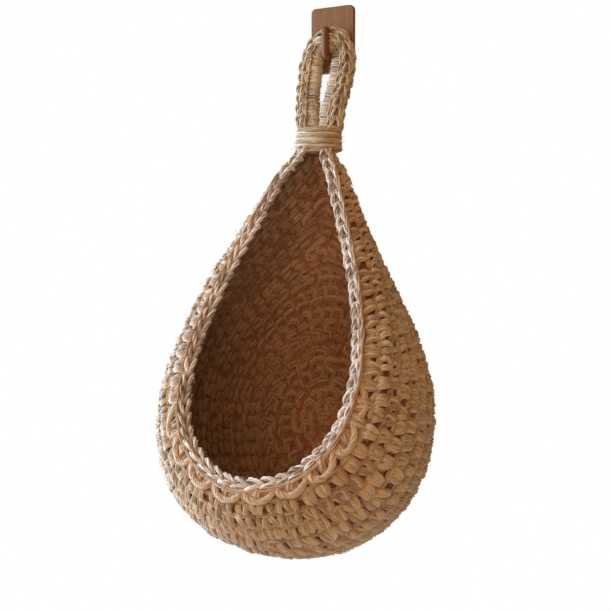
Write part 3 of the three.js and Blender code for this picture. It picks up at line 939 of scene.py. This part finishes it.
# The yarn's path in one stitch. Each point is a share of the stitch's width, a share of its height and a
# lift in mm. It goes across the front as the stitch's top loop, over to the back and down to the foot, then
# up the front as the left leg, across the back again to the foot and up as the right leg. The legs end under
# the next top loop, and the yarn lies twice across the back, so the inside looks beaded.
SINGLE_CROCHET = (
    (-0.42, 0.78, 0.2), (-0.20, 0.88, 0.6), (0.12, 0.88, 0.7), (0.36, 0.80, 0.2), (0.42, 0.90, -1.8),
    (0.12, 0.88, -3.3), (-0.30, 0.84, -2.8), (-0.24, 0.46, -1.2), (-0.07, -0.10, -0.9), (-0.12, 0.02, 1.6),
    (-0.21, 0.34, 2.7), (-0.22, 0.64, 2.0), (-0.14, 0.74, -0.9), (-0.36, 0.40, -2.8), (0.26, 0.34, -3.2),
    (0.12, -0.10, -1.2), (0.11, 0.02, 1.6), (0.19, 0.34, 2.7), (0.27, 0.62, 2.0), (0.44, 0.72, -0.1),
)


@dataclass
class Crochet:
    """Works rounds of stitches on a surface."""

    surface: BowlSurface
    yarn: Yarn = Yarn()
    path: tuple[tuple[float, float, float], ...] = SINGLE_CROCHET
    steps: int = 2  # points of the yarn's line for each point of the path
    pitch: float = 13.0 * MM
    most: int = 74
    fewest: int = 7
    slant: float = 0.08
    unevenness: float = 0.12  # of the stitches' widths and slants
    stitch_noise: tuple[float, float, float] = (0.06, 0.06, 0.35)  # of a whole stitch, in its path's units
    point_noise: tuple[float, float, float] = (0.025, 0.025, 0.2)  # of each point of its path
    back: float = -2.2  # lift in mm past which the yarn is seen from inside only
    cut: float = 6 * MM  # rounds that rise into the binding end this far above the bowl

    def count(self, along: float) -> int:
        """Gives the number of stitches in a round.

        Args:
            along: Where it lies, as a share of the meridian.

        Returns:
            A number that suits its length.
        """
        rings = np.linspace(0, 1, len(self.surface.perimeters))
        fitting = round(np.interp(along, rings, self.surface.perimeters) / self.pitch)
        return int(np.clip(fitting, self.fewest, self.most))

    def knots(self, count: int, offset: float, rng: np.random.Generator) -> np.ndarray:
        """Lays out the points that the yarn passes in a row of stitches.

        Args:
            count: The number of stitches.
            offset: Where the first stitch lies, as a share of a stitch.
            rng: Source of the random numbers.

        Returns:
            Rows of place along the row in stitches, share of the height, and lift in millimetres.
        """
        base = np.array(self.path)
        stitches = np.broadcast_to(base, (count, *base.shape)).copy()
        stitches[..., 0] *= 1 + rng.normal(0, self.unevenness, (count, 1))
        stitches += rng.normal(0, 1, (count, 1, 3)) * self.stitch_noise
        stitches += rng.normal(0, 1, stitches.shape) * self.point_noise
        slant = self.slant + rng.normal(0, self.unevenness, (count, 1))
        stitches[..., 0] += np.arange(count)[:, None] + offset + slant * base[None, :, 1]
        return stitches.reshape(-1, 3)

    @staticmethod
    def waist(height: np.ndarray) -> np.ndarray:
        """Gives how much the yarn is pressed together at a height in the stitch: tightest at its foot."""
        return 1 - 0.16 * (1 - smooth_share(height, -0.05, 0.3)) - 0.14 * smooth_share(height, 0.72, 0.9)

    def work_round(self, mesh: YarnMesh, start: float, end: float, offset: float) -> int:
        """Works one round.

        Args:
            mesh: What the strands are added to.
            start: The round's edge towards the rim, as a share of the meridian.
            end: Its edge towards the back.
            offset: Where its first stitch lies, as a share of a stitch.

        Returns:
            The number of stitches.
        """
        count = self.count((start + end) / 2)
        knots = self.knots(count, offset, mesh.rng)
        wrapped = np.vstack([knots[-2:] - [count, 0, 0], knots, knots[:3] + [count, 0, 0]])
        line = spline(wrapped, self.steps, closed=False)[2 * self.steps:][:len(knots) * self.steps]
        share, height, lift = line[:, 0] / count, line[:, 1], line[:, 2]
        flat = np.zeros(len(share))
        (near, _), (middle, around), (far, _) = (
            self.surface.place(flat + along, share, flat) for along in (start, (start + end) / 2, end))
        # Where the rings slide along each other, a stitch is set upright again.
        tilt = ((near - far) * around).sum(1)
        room = np.linalg.norm(near - far - around * tilt[:, None], axis=1)
        share = share - tilt * (height - 0.5) / (count * self.pitch)
        along = end + (start - end) * height
        points, _ = self.surface.place(along, share, lift * MM)
        _, _, outs = self.surface.axes(along, self.surface.turn_at(along, share))
        # Near the neck the rounds run together, and the yarn is pressed thinner there.
        size = np.clip(room / ((end - start) * self.surface.meridian), 0.5, 1.0) ** 0.8
        size = size * self.waist(height) * (1 - 0.1 * smooth_share(-lift, 0.9, -self.back))
        # Painted shade: the yarn darkens as it dips below the stitches' tops, and half as much where it is
        # seen only from inside.
        depth = shade_depth(lift, 0.9, 2.4) * np.where(lift < self.back, 0.5, 1.0)
        # A round that rises into the binding is left open there, from its first kept point to its last.
        kept = middle[:, 2] < self.surface.neck_bottom + self.cut
        closed = bool(kept.all())
        first = 0 if closed else int(np.argmax(kept & ~np.roll(kept, 1)))
        order = ((np.arange(len(share)) + first) % len(share))[:int(kept.sum())]
        across, half = lie_flat(points[order], outs[order], closed)
        turns = round(self.yarn.turns_per_stitch * count) * len(order) / len(share) + half
        mesh.lay(points[order], across, self.yarn, closed, turns, depth[order], size[order])
        return count


# Sub-assemblies


def present(piece: bpy.types.Object, body: Body, slot: str, *nodes: str) -> None:
    """Puts a piece on its body and hides the solids that it stands for.

    Args:
        piece: The finished piece.
        body: The body that it moves with.
        slot: The material slot of the record; not used.
        *nodes: The solids that it replaces.
    """
    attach(piece, body.value)
    if nodes:
        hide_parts(*nodes)
    LOG.info("%s: %d faces, on %s", piece.name, len(piece.data.polygons), body.value)


@dataclass
class Bowl:
    """The crocheted bowl: four bands of the side wall, the flat back, the raised round and the rim."""

    surface: BowlSurface
    edging_half: float = 2.8 * MM
    seam: float = 0.7 * MM
    post_height: float = 14 * MM
    tucked: float = 0.5 * MM  # how far the raised round goes under the rim's chain
    base_radius: float = 66 * MM
    wall_rounds: int = 11
    base_rounds: int = 5
    fibres: int = 420  # loose ones on each round
    fibre_lift: float = 2.6 * MM  # of their roots, over the middle of the fabric
    fibre_top: float = 2 * MM  # below the neck, where they end
    plain_depth: float = 1.5  # mm below the fabric at which flattened loops of the raised round lie
    loop_relief: float = 130 * MM  # from here below the neck the loops begin to stand out
    cluster_relief: float = 150 * MM  # the same for the clusters
    full_relief: float = 235 * MM  # from here both stand out in full
    least_relief: float = 0.03  # share of that below which there is no loop
    least_cluster: float = 0.05  # the same for the clusters
    loop_turns: float = 1.2  # turns that the strands make in a loop
    cluster_turns: float = 0.35
    loop_yarn: Yarn = Yarn(spread_wide=1.45 * MM, spread_deep=0.9 * MM, radius=1.3 * MM, sides=5)
    cluster_yarn: Yarn = Yarn(spread_wide=1.9 * MM, spread_deep=1.1 * MM, radius=1.35 * MM, sides=5)
    rim_top: float = 5 * MM  # where the rim's line ends above the bowl
    rim_samples: int = 400
    rim_fibres: int = 1100
    rim_fibre: float = 7 * MM  # their usual length
    chain_pitch: float = 11.5 * MM
    chain_size: float = 1.35
    chain_half: float = 3.5 * MM  # the roots of its fibres lie within this of its middle
    chain_back: float = 0.8 * MM  # from the rim's line to the middle of the chain
    chain_yarn: Yarn = Yarn(strands=4, spread_wide=1.4 * MM, spread_deep=0.9 * MM, radius=1.05 * MM)
    strand_out: float = 4.6 * MM  # from the rim's line to the strand beside the chain
    strand_back: float = 4.4 * MM
    strand_turns: float = 14  # that its strands make along the whole rim
    strand_yarn: Yarn = Yarn(strands=4, spread_wide=1.1 * MM, spread_deep=0.7 * MM, radius=0.8 * MM,
                             stray=0.6 * MM)
    sheet_lifts: tuple[float, float] = (0.5, -2.5)  # mm, of the two sides of the sheet inside the fabric
    sheet_span: tuple[float, float] = (0.02, 0.985)  # shares of the meridian that it covers
    sheet_cells: tuple[int, int] = (60, 180)  # points across the rounds and round them
    sheet_top: float = 4 * MM  # where it ends above the bowl

    @property
    def post_edges(self) -> tuple[float, float]:
        """Gives the raised round's edges towards the rim and the back, as shares of the meridian."""
        near, far = self.edging_half - self.tucked, self.edging_half + self.seam + self.post_height
        return near / self.surface.meridian, far / self.surface.meridian

    def build(self) -> None:
        """Builds every piece of the bowl."""
        jute = JUTE.build()
        base_start = 1 - self.base_radius / self.surface.meridian
        crochet = Crochet(self.surface)
        bands = ("lip_rounds", "belly_rounds", "back_rounds", "base_rounds")
        edges = np.linspace(self.post_edges[1], base_start, self.wall_rounds + 1)
        rng = np.random.default_rng(SEED)
        for at, (start, end) in enumerate(zip(edges[:-1], edges[1:])):
            mesh = YarnMesh(rng)
            crochet.work_round(mesh, start, end, 0.5 * (at % 2))
            self.loose_fibres(mesh, start, end)
            band = bands[int((at + 0.5) / self.wall_rounds * len(bands))]
            present(mesh.build(f"wall_round_{at + 1:02d}", jute), Body.BASKET, "jute", band)
        mesh = YarnMesh(rng)
        edges = np.linspace(base_start, 1, self.base_rounds + 1)
        for at, (start, end) in enumerate(zip(edges[:-1], edges[1:])):
            crochet.work_round(mesh, start, end, 0.5 * (at % 2))
        present(mesh.build("back_panel_stitches", jute), Body.BASKET, "jute", "base_panel")
        self.post_round(crochet, rng)
        self.rim(rng)
        self.lining(jute)

    def loose_fibres(self, mesh: YarnMesh, start: float, end: float) -> None:
        """Scatters short fibres over the outside of a round.

        Args:
            mesh: What they are added to.
            start: The round's edge towards the rim, as a share of the meridian.
            end: Its edge towards the back.
        """
        rng = mesh.rng
        along, share = rng.uniform(start, end, self.fibres), rng.uniform(0, 1, self.fibres)
        roots, around = self.surface.place(along, share, np.full(self.fibres, self.fibre_lift))
        _, across, out = self.surface.axes(along, self.surface.turn_at(along, share))
        kept = roots[:, 2] < self.surface.neck_bottom - self.fibre_top
        runs = unit(around * rng.normal(0, 1, (self.fibres, 1)) + across * rng.normal(0, 1, (self.fibres, 1)))
        mesh.fuzz(roots[kept], out[kept], runs[kept], stand=0.12)

    def boldness(self, share: np.ndarray, begin: float) -> np.ndarray:
        """Gives how much the raised round stands out: from 0 at begin below the neck to 1 at the lip."""
        rim, _ = self.surface.place(np.full(len(share), self.post_edges[0]), share, 0 * share)
        return smooth_share(self.surface.neck_bottom - rim[:, 2], begin, self.full_relief)

    def relief(self, lift: np.ndarray, bold: np.ndarray) -> np.ndarray:
        """Flattens lifts in mm where the round stands out less, and gives them in metres."""
        return ((lift + self.plain_depth) * (0.3 + 0.7 * bold) - self.plain_depth) * MM

    def post_round(self, crochet: Crochet, rng: np.random.Generator) -> None:
        """Works the raised round below the rim: plain stitches with U-shaped loops and clusters over them.

        Args:
            crochet: What works the plain stitches.
            rng: Source of the random numbers.
        """
        surface = self.surface
        start, end = self.post_edges
        mesh = YarnMesh(rng)
        units = crochet.work_round(mesh, start, end, 0.25) // 2
        base = np.array((  # share of the loop's width, share of its height, lift in mm
            (0.0, 1.04, 1.0), (0.05, 0.7, 3.2), (0.15, 0.3, 4.0), (0.33, 0.08, 4.2), (0.5, 0.02, 4.3),
            (0.67, 0.08, 4.2), (0.85, 0.3, 4.0), (0.95, 0.7, 3.2),
        ))
        knots = np.broadcast_to(base, (units, *base.shape)).copy()
        knots += rng.normal(0, 1, (units, 1, 3)) * [0.02, 0.03, 0.2]
        knots[..., 0] += np.arange(units)[:, None]
        line = spline(knots.reshape(-1, 3), 4, closed=False)
        share = line[:, 0] / units
        bold = self.boldness(share, self.loop_relief)
        height = 1 - (1 - line[:, 1]) * (0.5 + 0.5 * bold)
        points, _ = surface.place(end + (start - end) * height, share, self.relief(line[:, 2], bold))
        edge = np.full(len(line), start)
        _, _, outs = surface.axes(edge, surface.turn_at(edge, share))
        kept = bold > self.least_relief
        # Painted shade: the loops darken where they dip towards the fabric.
        depth = shade_depth(line[:, 2], 1.5, 2.5, 0.8)
        flat = np.cross(np.gradient(points, axis=0), outs)
        mesh.lay(points[kept], flat[kept], self.loop_yarn, False, units * self.loop_turns, depth[kept])
        self.clusters(mesh, units)
        self.long_strand(mesh)
        piece = mesh.build("raised_round_stitches", POST_JUTE.build())
        present(piece, Body.BASKET, "pale_jute", "post_round")

    def clusters(self, mesh: YarnMesh, units: int) -> None:
        """Puts a short bulging cluster of yarn inside each U-shaped loop.

        Args:
            mesh: What the strands are added to.
            units: The number of U-shaped loops.
        """
        start, end = self.post_edges
        base = np.array((  # share of the loop's width, share of its height, lift in mm
            (0.5, 1.0, -0.6), (0.5, 0.86, 2.4), (0.5, 0.62, 3.8), (0.5, 0.38, 3.0), (0.5, 0.2, 0.2),
        ))
        for at in range(units):
            knots = base + mesh.rng.normal(0, 1, 3) * [0.03, 0.03, 0.3] + [at, 0, 0]
            line = spline(knots, 4, closed=False)
            share = line[:, 0] / units
            bold = self.boldness(share, self.cluster_relief)
            if bold.min() < self.least_cluster:
                continue
            lift = self.relief(line[:, 2], bold)
            points, around = self.surface.place(end + (start - end) * line[:, 1], share, lift)
            # Painted shade: a cluster darkens where it dips towards the fabric.
            depth = shade_depth(line[:, 2], 1.2, 2.5, 0.8)
            size = 0.8 + 0.3 * np.sin(np.linspace(0, np.pi, len(line)))
            mesh.lay(points, around, self.cluster_yarn, False, self.cluster_turns, depth, size)

    def rim_line(self) -> tuple[np.ndarray, np.ndarray, np.ndarray, np.ndarray]:
        """Follows the rim from the neck round the lip and back.

        Returns:
            Its line, with the unit vectors along it, towards the back and out of the bowl.
        """
        surface = self.surface
        share = np.linspace(0, 1, self.rim_samples)
        turn = surface.turn_at(0 * share, share)
        around, across, out = surface.axes(0 * share, turn)
        line = surface.settle(surface.place_raw(0 * share, turn))
        kept = line[:, 2] < surface.neck_bottom + self.rim_top
        return line[kept], around[kept], across[kept], out[kept]

    def long_strand(self, mesh: YarnMesh) -> None:
        """Lays the yarn that runs along the rim between its chain and the raised round.

        Args:
            mesh: What the strands are added to.
        """
        line, _, across, out = self.rim_line()
        beside = line + out * self.strand_out + across * self.strand_back
        # Painted shade: the strand beside the chain is darkened evenly, as it lies low between the chain and
        # the raised round.
        mesh.lay(beside, out, self.strand_yarn, False, self.strand_turns, np.full(len(beside), 0.3))

    def rim(self, rng: np.random.Generator) -> None:
        """Works the chain along the rim, and its loose fibres.

        Args:
            rng: Source of the random numbers.
        """
        line, around, across, out = self.rim_line()
        face = unit(out - across)
        side = unit(np.cross(around, face))
        mesh = YarnMesh(rng)
        middle = line + across * self.chain_back
        mesh.chain(middle, side, face, self.chain_pitch, self.chain_yarn, self.chain_size)
        picks = rng.integers(0, len(line), self.rim_fibres)
        stand = unit(face[picks] + rng.normal(0, 0.6, (len(picks), 3)))
        aside = rng.uniform(-self.chain_half, self.chain_half, (len(picks), 1))
        mesh.fuzz(line[picks] + side[picks] * aside, stand, around[picks], self.rim_fibre)
        present(mesh.build("rim_chain", RIM_JUTE.build()), Body.BASKET, "pale_jute", "rim_edging")

    def lining(self, material: bpy.types.Material) -> None:
        """Fills the middle of the fabric, where strands press together, with a thin closed sheet that is dark
        with painted shade, so the gaps between stitches read as shadowed holes.

        Args:
            material: The finish of the bowl's yarn.
        """
        surface = self.surface
        rows, columns = self.sheet_cells
        grid = np.meshgrid(np.linspace(*self.sheet_span, rows), np.arange(columns) / columns, indexing="ij")
        points = np.vstack([surface.place(*grid, np.full(grid[0].shape, lift * MM))[0].reshape(-1, 3)
                            for lift in self.sheet_lifts])
        quads, _, _ = grid_quads(rows, columns, False)
        outer = quads[points[quads, 2].max(1) <= surface.neck_bottom + self.sheet_top]
        edges = dict.fromkeys((quad[at - 1], quad[at]) for quad in outer.tolist() for at in (1, 2, 3, 0))
        half = rows * columns
        walls = np.array([[b, a, a + half, b + half] for a, b in edges if (b, a) not in edges])
        mesh = bpy.data.meshes.new("fabric_sheet_painted_shade")
        mesh.from_pydata(points.tolist(), [], np.vstack([outer, (outer + half)[:, ::-1], walls]).tolist())
        mesh.validate()
        # Painted shade: the sheet is dark throughout, and darkest, with a darker tone, on its outside, where
        # the gaps between stitches show it.
        mark(mesh, np.repeat([1.0, 0.8], half), np.repeat([-0.3, 0.3], half))  # darker on the outside
        piece = add_object("fabric_sheet_painted_shade", mesh)
        bpy.ops.object.select_all(action="DESELECT")
        piece.select_set(True)
        bpy.context.view_layer.objects.active = piece
        bpy.ops.object.mode_set(mode="EDIT")
        bpy.ops.mesh.select_all(action="SELECT")
        bpy.ops.mesh.delete_loose()
        bpy.ops.mesh.select_all(action="SELECT")
        bpy.ops.mesh.normals_make_consistent(inside=False)
        bpy.ops.object.mode_set(mode="OBJECT")
        mesh.materials.append(material)
        present(piece, Body.BASKET, "jute")


@dataclass
class HangingLoop:
    """The crocheted loop that goes over the peg: a pressed core, braids and fine wraps."""

    surface: LoopSurface
    pitch: float = 10.4 * MM
    braid: Yarn = Yarn(strands=4, spread_wide=1.1 * MM, spread_deep=0.7 * MM, radius=0.75 * MM)
    ridge: Yarn = Yarn(strands=2, spread_wide=0.6 * MM, spread_deep=0.5 * MM, radius=0.75 * MM)
    wrap: float = 1.15 * MM  # from one turn of the fine wraps to the next
    wrap_yarn: Yarn = Yarn(strands=2, spread_wide=0.4 * MM, spread_deep=0.1 * MM, radius=0.6 * MM,
                           stray=0.25 * MM)
    ends: float = 0.01  # share of the loop's length that braids and wraps leave free at each foot
    core_ends: float = 0.004  # the same for the core
    core_lift: float = -0.3 * MM
    fibres: int = 420  # loose ones all over, and as many at the frayed spot
    fibre_lift: float = 2.4 * MM
    frayed_at: float = 0.54  # place along the loop of the frayed spot
    frayed_spread: float = 0.022
    frayed_front: tuple[float, float] = (-0.47, -0.16)  # places round the section that it reaches to
    frayed_lifts: tuple[float, float] = (0.4 * MM, 2.2 * MM)
    frayed_length: float = 4.5 * MM

    def build(self) -> None:
        """Works the loop."""
        rng = np.random.default_rng(SEED + 1)
        mesh = YarnMesh(rng)
        self.core(mesh)
        self.wraps(mesh)
        self.braids(mesh)
        along, share = rng.uniform(0, 1, self.fibres), rng.uniform(0.03, 0.97, self.fibres)
        roots, ahead = self.surface.place(along, share, np.full(self.fibres, self.fibre_lift))
        mesh.fuzz(roots, unit(rng.normal(0, 1, (self.fibres, 3))), ahead)
        self.frayed_spot(mesh)
        present(mesh.build("loop_stitches", STRAP_JUTE.build()), Body.BASKET, "pale_jute", "hanging_loop")

    def frayed_spot(self, mesh: YarnMesh) -> None:
        """Teases out fibres on the front of the loop where it bulges beside the peg's tip.

        Args:
            mesh: What they are added to.
        """
        rng, count = mesh.rng, self.fibres
        share = rng.normal(self.frayed_at, self.frayed_spread, count)
        along = rng.uniform(*self.frayed_front, count)
        roots, ahead = self.surface.place(along, share, rng.uniform(*self.frayed_lifts, count))
        inner, _ = self.surface.place(along, share, np.zeros(count))
        runs = unit(ahead + rng.normal(0, 0.9, (count, 3)))
        mesh.fuzz(roots, unit(roots - inner), runs, self.frayed_length, stand=0.35)

    def core(self, mesh: YarnMesh) -> None:
        """Fills the middle of the loop, where strands press together, with a tube that is darkened as painted
        shade where it shows between the braids.

        Args:
            mesh: What the core is added to.
        """
        rings, sides = 160, 20
        share = np.linspace(self.core_ends, 1 - self.core_ends, rings)
        share, along = np.meshgrid(share, np.arange(sides) / sides, indexing="ij")
        grid, _ = self.surface.place(along, share, np.full(share.shape, self.core_lift))
        # Painted shade: the core is darkened where it shows in the gaps between the braids.
        mesh.skin(grid, False, np.full(rings, 0.4), 0.4)

    def wraps(self, mesh: YarnMesh) -> None:
        """Winds fine yarn round the inner edge, from the ridge on the front to the middle of the back.

        Args:
            mesh: What the strands are added to.
        """
        turns = int(self.surface.length / self.wrap)
        spare = 2  # turns that are left free, so that stray ones stay on the loop
        base = np.array([
            # place round the section, turns by which it runs ahead, lift in mm
            (-0.27, 0.0, -0.6), (-0.22, 0.0, 0.9), (-0.1, -0.8, 1.1), (0.0, -1.6, 1.0), (0.12, -1.2, 1.0),
            (0.24, -0.6, 0.9), (0.28, -0.2, -0.8), (0.0, 0.3, -2.4),
        ])
        knots = np.broadcast_to(base, (turns, *base.shape)).copy()
        knots += mesh.rng.normal(0, 1, (turns, 1, 3)) * [0.012, 0.4, 0.2]
        knots[..., 1] += np.arange(turns)[:, None] + spare
        line = spline(knots.reshape(-1, 3), 2, closed=False)
        share = self.ends + (1 - 2 * self.ends) * np.clip(line[:, 1] / (turns + spare), 0, 1)
        points, ahead = self.surface.place(line[:, 0], share, line[:, 2] * MM)
        # Painted shade: the wraps darken where they dip under, below 0.4 mm of lift.
        mesh.lay(points, ahead, self.wrap_yarn, False, 2, shade_depth(line[:, 2], 0.4, 2.0))

    def braids(self, mesh: YarnMesh) -> None:
        """Lays a wide braid on the front, one on the outer edge and one on the back, and a fine ridge.

        Args:
            mesh: What the strands are added to.
        """
        samples = 240
        share = np.linspace(self.ends, 1 - self.ends, samples)
        for place, lift, width, yarn in (  # place round the section, lift in mm, factor on the links
            (-0.375, 0.4, 1.15, self.braid), (0.5, 0.5, 1.0, self.braid), (0.37, 0.3, 1.15, self.braid),
            (-0.265, 1.3, 0.5, self.ridge),
        ):
            line, ahead = self.surface.place(np.full(samples, place), share, np.full(samples, lift * MM))
            base, _ = self.surface.place(np.full(samples, place), share, np.zeros(samples))
            face = unit(line - base)
            side = unit(np.cross(ahead, face))
            mesh.chain(line, side, face, self.pitch, yarn, width)


@dataclass
class Neck:
    """The gathered neck: a core of pressed fabric with twine wound round it."""

    low: Vector
    high: Vector
    edge: float = 1.6 * MM  # rounding of the core
    twine: float = 2.7 * MM
    yarn: Yarn = Yarn(strands=3, spread_wide=0.55 * MM, spread_deep=0.7 * MM, radius=0.72 * MM, sides=5)
    turns: float = 9.4
    lay: float = 1.6  # turns of the twine's strands for each turn round the neck
    slope: float = 0.7 * MM
    loose: float = 0.35 * MM  # how far a turn strays from the core
    uneven: float = 0.3 * MM  # how far it strays up and down
    proud: float = 0.7  # share of the twine's radius that stands off the core
    fibres: int = 34

    def build(self) -> None:
        """Builds the core and the binding."""
        self.core()
        self.binding()

    def core(self) -> None:
        """Shapes the pressed fabric inside the binding."""
        bpy.ops.object.select_all(action="DESELECT")
        middle = (self.low + self.high) / 2
        bpy.ops.mesh.primitive_cylinder_add(vertices=40, radius=0.5, depth=1.0, location=middle)
        piece = bpy.context.object
        piece.name = "pressed_fabric"
        piece.scale = self.high - self.low
        bpy.ops.object.transform_apply(location=True, rotation=True, scale=True)
        bpy.ops.object.mode_set(mode="EDIT")
        bpy.ops.mesh.select_all(action="SELECT")
        bpy.ops.mesh.bevel(offset=self.edge, segments=3)
        bpy.ops.object.mode_set(mode="OBJECT")
        bpy.ops.object.shade_smooth()
        # Painted shade: the pressed fabric is darkened a little through its depth attribute.
        mark(piece.data, 0.2, 0.4)
        piece.data.materials.append(JUTE.build())
        present(piece, Body.BASKET, "jute", "gathered_neck")

    def binding(self) -> None:
        """Winds the twine, pulled tight, each turn against the last."""
        rng = np.random.default_rng(SEED + 2)
        steps = 48
        total = int(self.turns * steps)
        angle = np.arange(total + 1) / steps * 2 * np.pi
        radius = self.twine / 2
        size = self.high - self.low
        middle = (self.low + self.high) / 2
        wide, deep = size.x / 2 + radius * self.proud, size.y / 2 + radius * self.proud
        loose = self.loose * wave(total + 1, 30, rng)
        x = np.sin(angle) * (wide + loose)
        y = middle.y + np.cos(angle) * (deep + loose)
        z = self.low.z + radius + (size.z - self.twine) * angle / angle[-1]
        z = z + self.slope * np.sin(angle + 0.4) + self.uneven * wave(total + 1, 20, rng)
        line = np.stack([x, y, z], 1)
        out = unit(np.stack([np.sin(angle) / wide, np.cos(angle) / deep, 0 * angle], 1))
        mesh = YarnMesh(rng)
        # Painted shade: the twine is darkened very slightly all along.
        mesh.lay(line, out, self.yarn, False, self.turns * self.lay, np.full(len(line), 0.05))
        picks = rng.integers(0, len(line), self.fibres)
        stand = out[picks]
        mesh.fuzz(line[picks] + stand * radius, stand, np.cross(stand, [0, 0, 1.0]))
        present(mesh.build("neck_twine", TWINE_JUTE.build()), Body.BASKET, "pale_jute", "neck_binding")


@dataclass
class Hook:
    """The wooden hook: its plate, its peg and the pad that sticks it to the wall keep their solids."""

    plate: Finish = PLATE_WOOD
    peg: Finish = PEG_WOOD
    pad: Finish = PAD_FOAM

    def build(self) -> None:
        """Dresses the three solids."""
        for node, finish in (("hook_plate", self.plate), ("hook_peg", self.peg), ("adhesive_pad", self.pad)):
            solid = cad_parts[node]
            solid.data.materials.clear()
            solid.data.materials.append(finish.build())
            LOG.info("%s: dressed in %s", node, finish.name)


@dataclass
class Studio:
    """Floor, lights and camera."""

    floor_height: float = -1.2
    floor_size: float = 12.0
    world_colour: str = "#FFD2A8"
    world_strength: float = 0.385
    camera_place: tuple[float, float, float] = (0.3077, -0.7328, -0.1880)
    lens: float = 51.65
    yaw: float = 25.0  # degrees that it is turned to the left
    aim_right: float = 0.00655  # shares of the way ahead
    aim_down: float = 0.0604
    basket_middle: tuple[float, float, float] = (0.0, -0.09, -0.25)

    def build(self) -> None:
        """Builds the floor, the lights, the world and the camera."""
        self.floor()
        self.lamps()
        self.world()
        self.camera()

    def floor(self) -> None:
        """Lays the floor below the object."""
        bpy.ops.object.select_all(action="DESELECT")
        bpy.ops.mesh.primitive_plane_add(size=self.floor_size, location=(0, 0, self.floor_height))
        floor = bpy.context.object
        floor.name = "floor"
        floor.data.materials.append(FLOOR_PAINT.build())

    def lamps(self) -> None:
        """Hangs a large soft lamp and a smaller cool one on the left, and a weak warm one in front."""
        for name, place, size, power, colour in (  # metres and watts
            ("window", (-1.3, -0.62, 0.2), 0.9, 37.0, "#C2DCF8"),
            ("sky", (-0.8, -0.1, -0.42), 0.5, 14.5, "#96C4FA"),
            ("room", (0.25, -1.9, 0.35), 1.6, 12.6, "#FFC796"),
        ):
            lamp = bpy.data.lights.new(name, "AREA")
            lamp.shape = "DISK"
            lamp.size = size
            lamp.energy = power
            lamp.color = linear(colour)[:3]
            holder = add_object(name, lamp)
            holder.location = place
            aim = Vector(self.basket_middle) - Vector(place)
            holder.rotation_euler = aim.to_track_quat("-Z", "Y").to_euler()

    def world(self) -> None:
        """Gives weak even light from all round, and white where the camera sees past the object."""
        world = bpy.data.worlds.new("studio")
        bpy.context.scene.world = world
        world.use_nodes = True
        tree = world.node_tree
        tree.nodes.clear()
        path = add_node(tree, "ShaderNodeLightPath")
        light = add_node(tree, "ShaderNodeBackground",
                         {"Color": linear(self.world_colour), "Strength": self.world_strength})
        white = add_node(tree, "ShaderNodeBackground", {"Color": WHITE, "Strength": 1.0})
        mix = add_node(tree, "ShaderNodeMixShader",
                       links={0: path.outputs["Is Camera Ray"], 1: light.outputs[0], 2: white.outputs[0]})
        add_node(tree, "ShaderNodeOutputWorld", links={"Surface": mix.outputs[0]})

    def camera(self) -> None:
        """Stands the camera where the photograph was taken from."""
        yaw = math.radians(self.yaw)
        forward = Vector((-math.sin(yaw), math.cos(yaw), 0))
        right = Vector((math.cos(yaw), math.sin(yaw), 0))
        aim = forward + right * self.aim_right + Vector((0, 0, -self.aim_down))
        data = bpy.data.cameras.new("camera")
        data.lens = self.lens
        data.clip_start = 0.02
        camera = add_object("camera", data)
        camera.location = self.camera_place
        camera.rotation_euler = aim.to_track_quat("-Z", "Y").to_euler()
        bpy.context.scene.camera = camera


def main() -> None:
    """Builds the studio, then every sub-assembly, and logs each piece."""
    logging.basicConfig(level=logging.INFO, format="%(name)s %(message)s")
    bpy.context.scene.view_settings.view_transform = "Standard"
    Studio().build()
    Hook().build()
    gap, arm_radius, foot_depth = 0.3 * MM, 3.7 * MM, 3 * MM
    neck = Neck(*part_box("gathered_neck"))
    Bowl(BowlSurface(neck_bottom=neck.low.z - gap)).build()
    neck.build()
    plate_low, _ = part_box("hook_plate")
    peg_low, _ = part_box("hook_peg")
    loop = LoopSurface(arm_height=peg_low.z + arm_radius, foot_height=neck.high.z - foot_depth,
                       middle_out=plate_low.y - gap - LoopSurface.thickness / 2,
                       neck_out=(neck.low.y + neck.high.y) / 2)
    HangingLoop(loop).build()


if __name__ == "__main__":
    main()
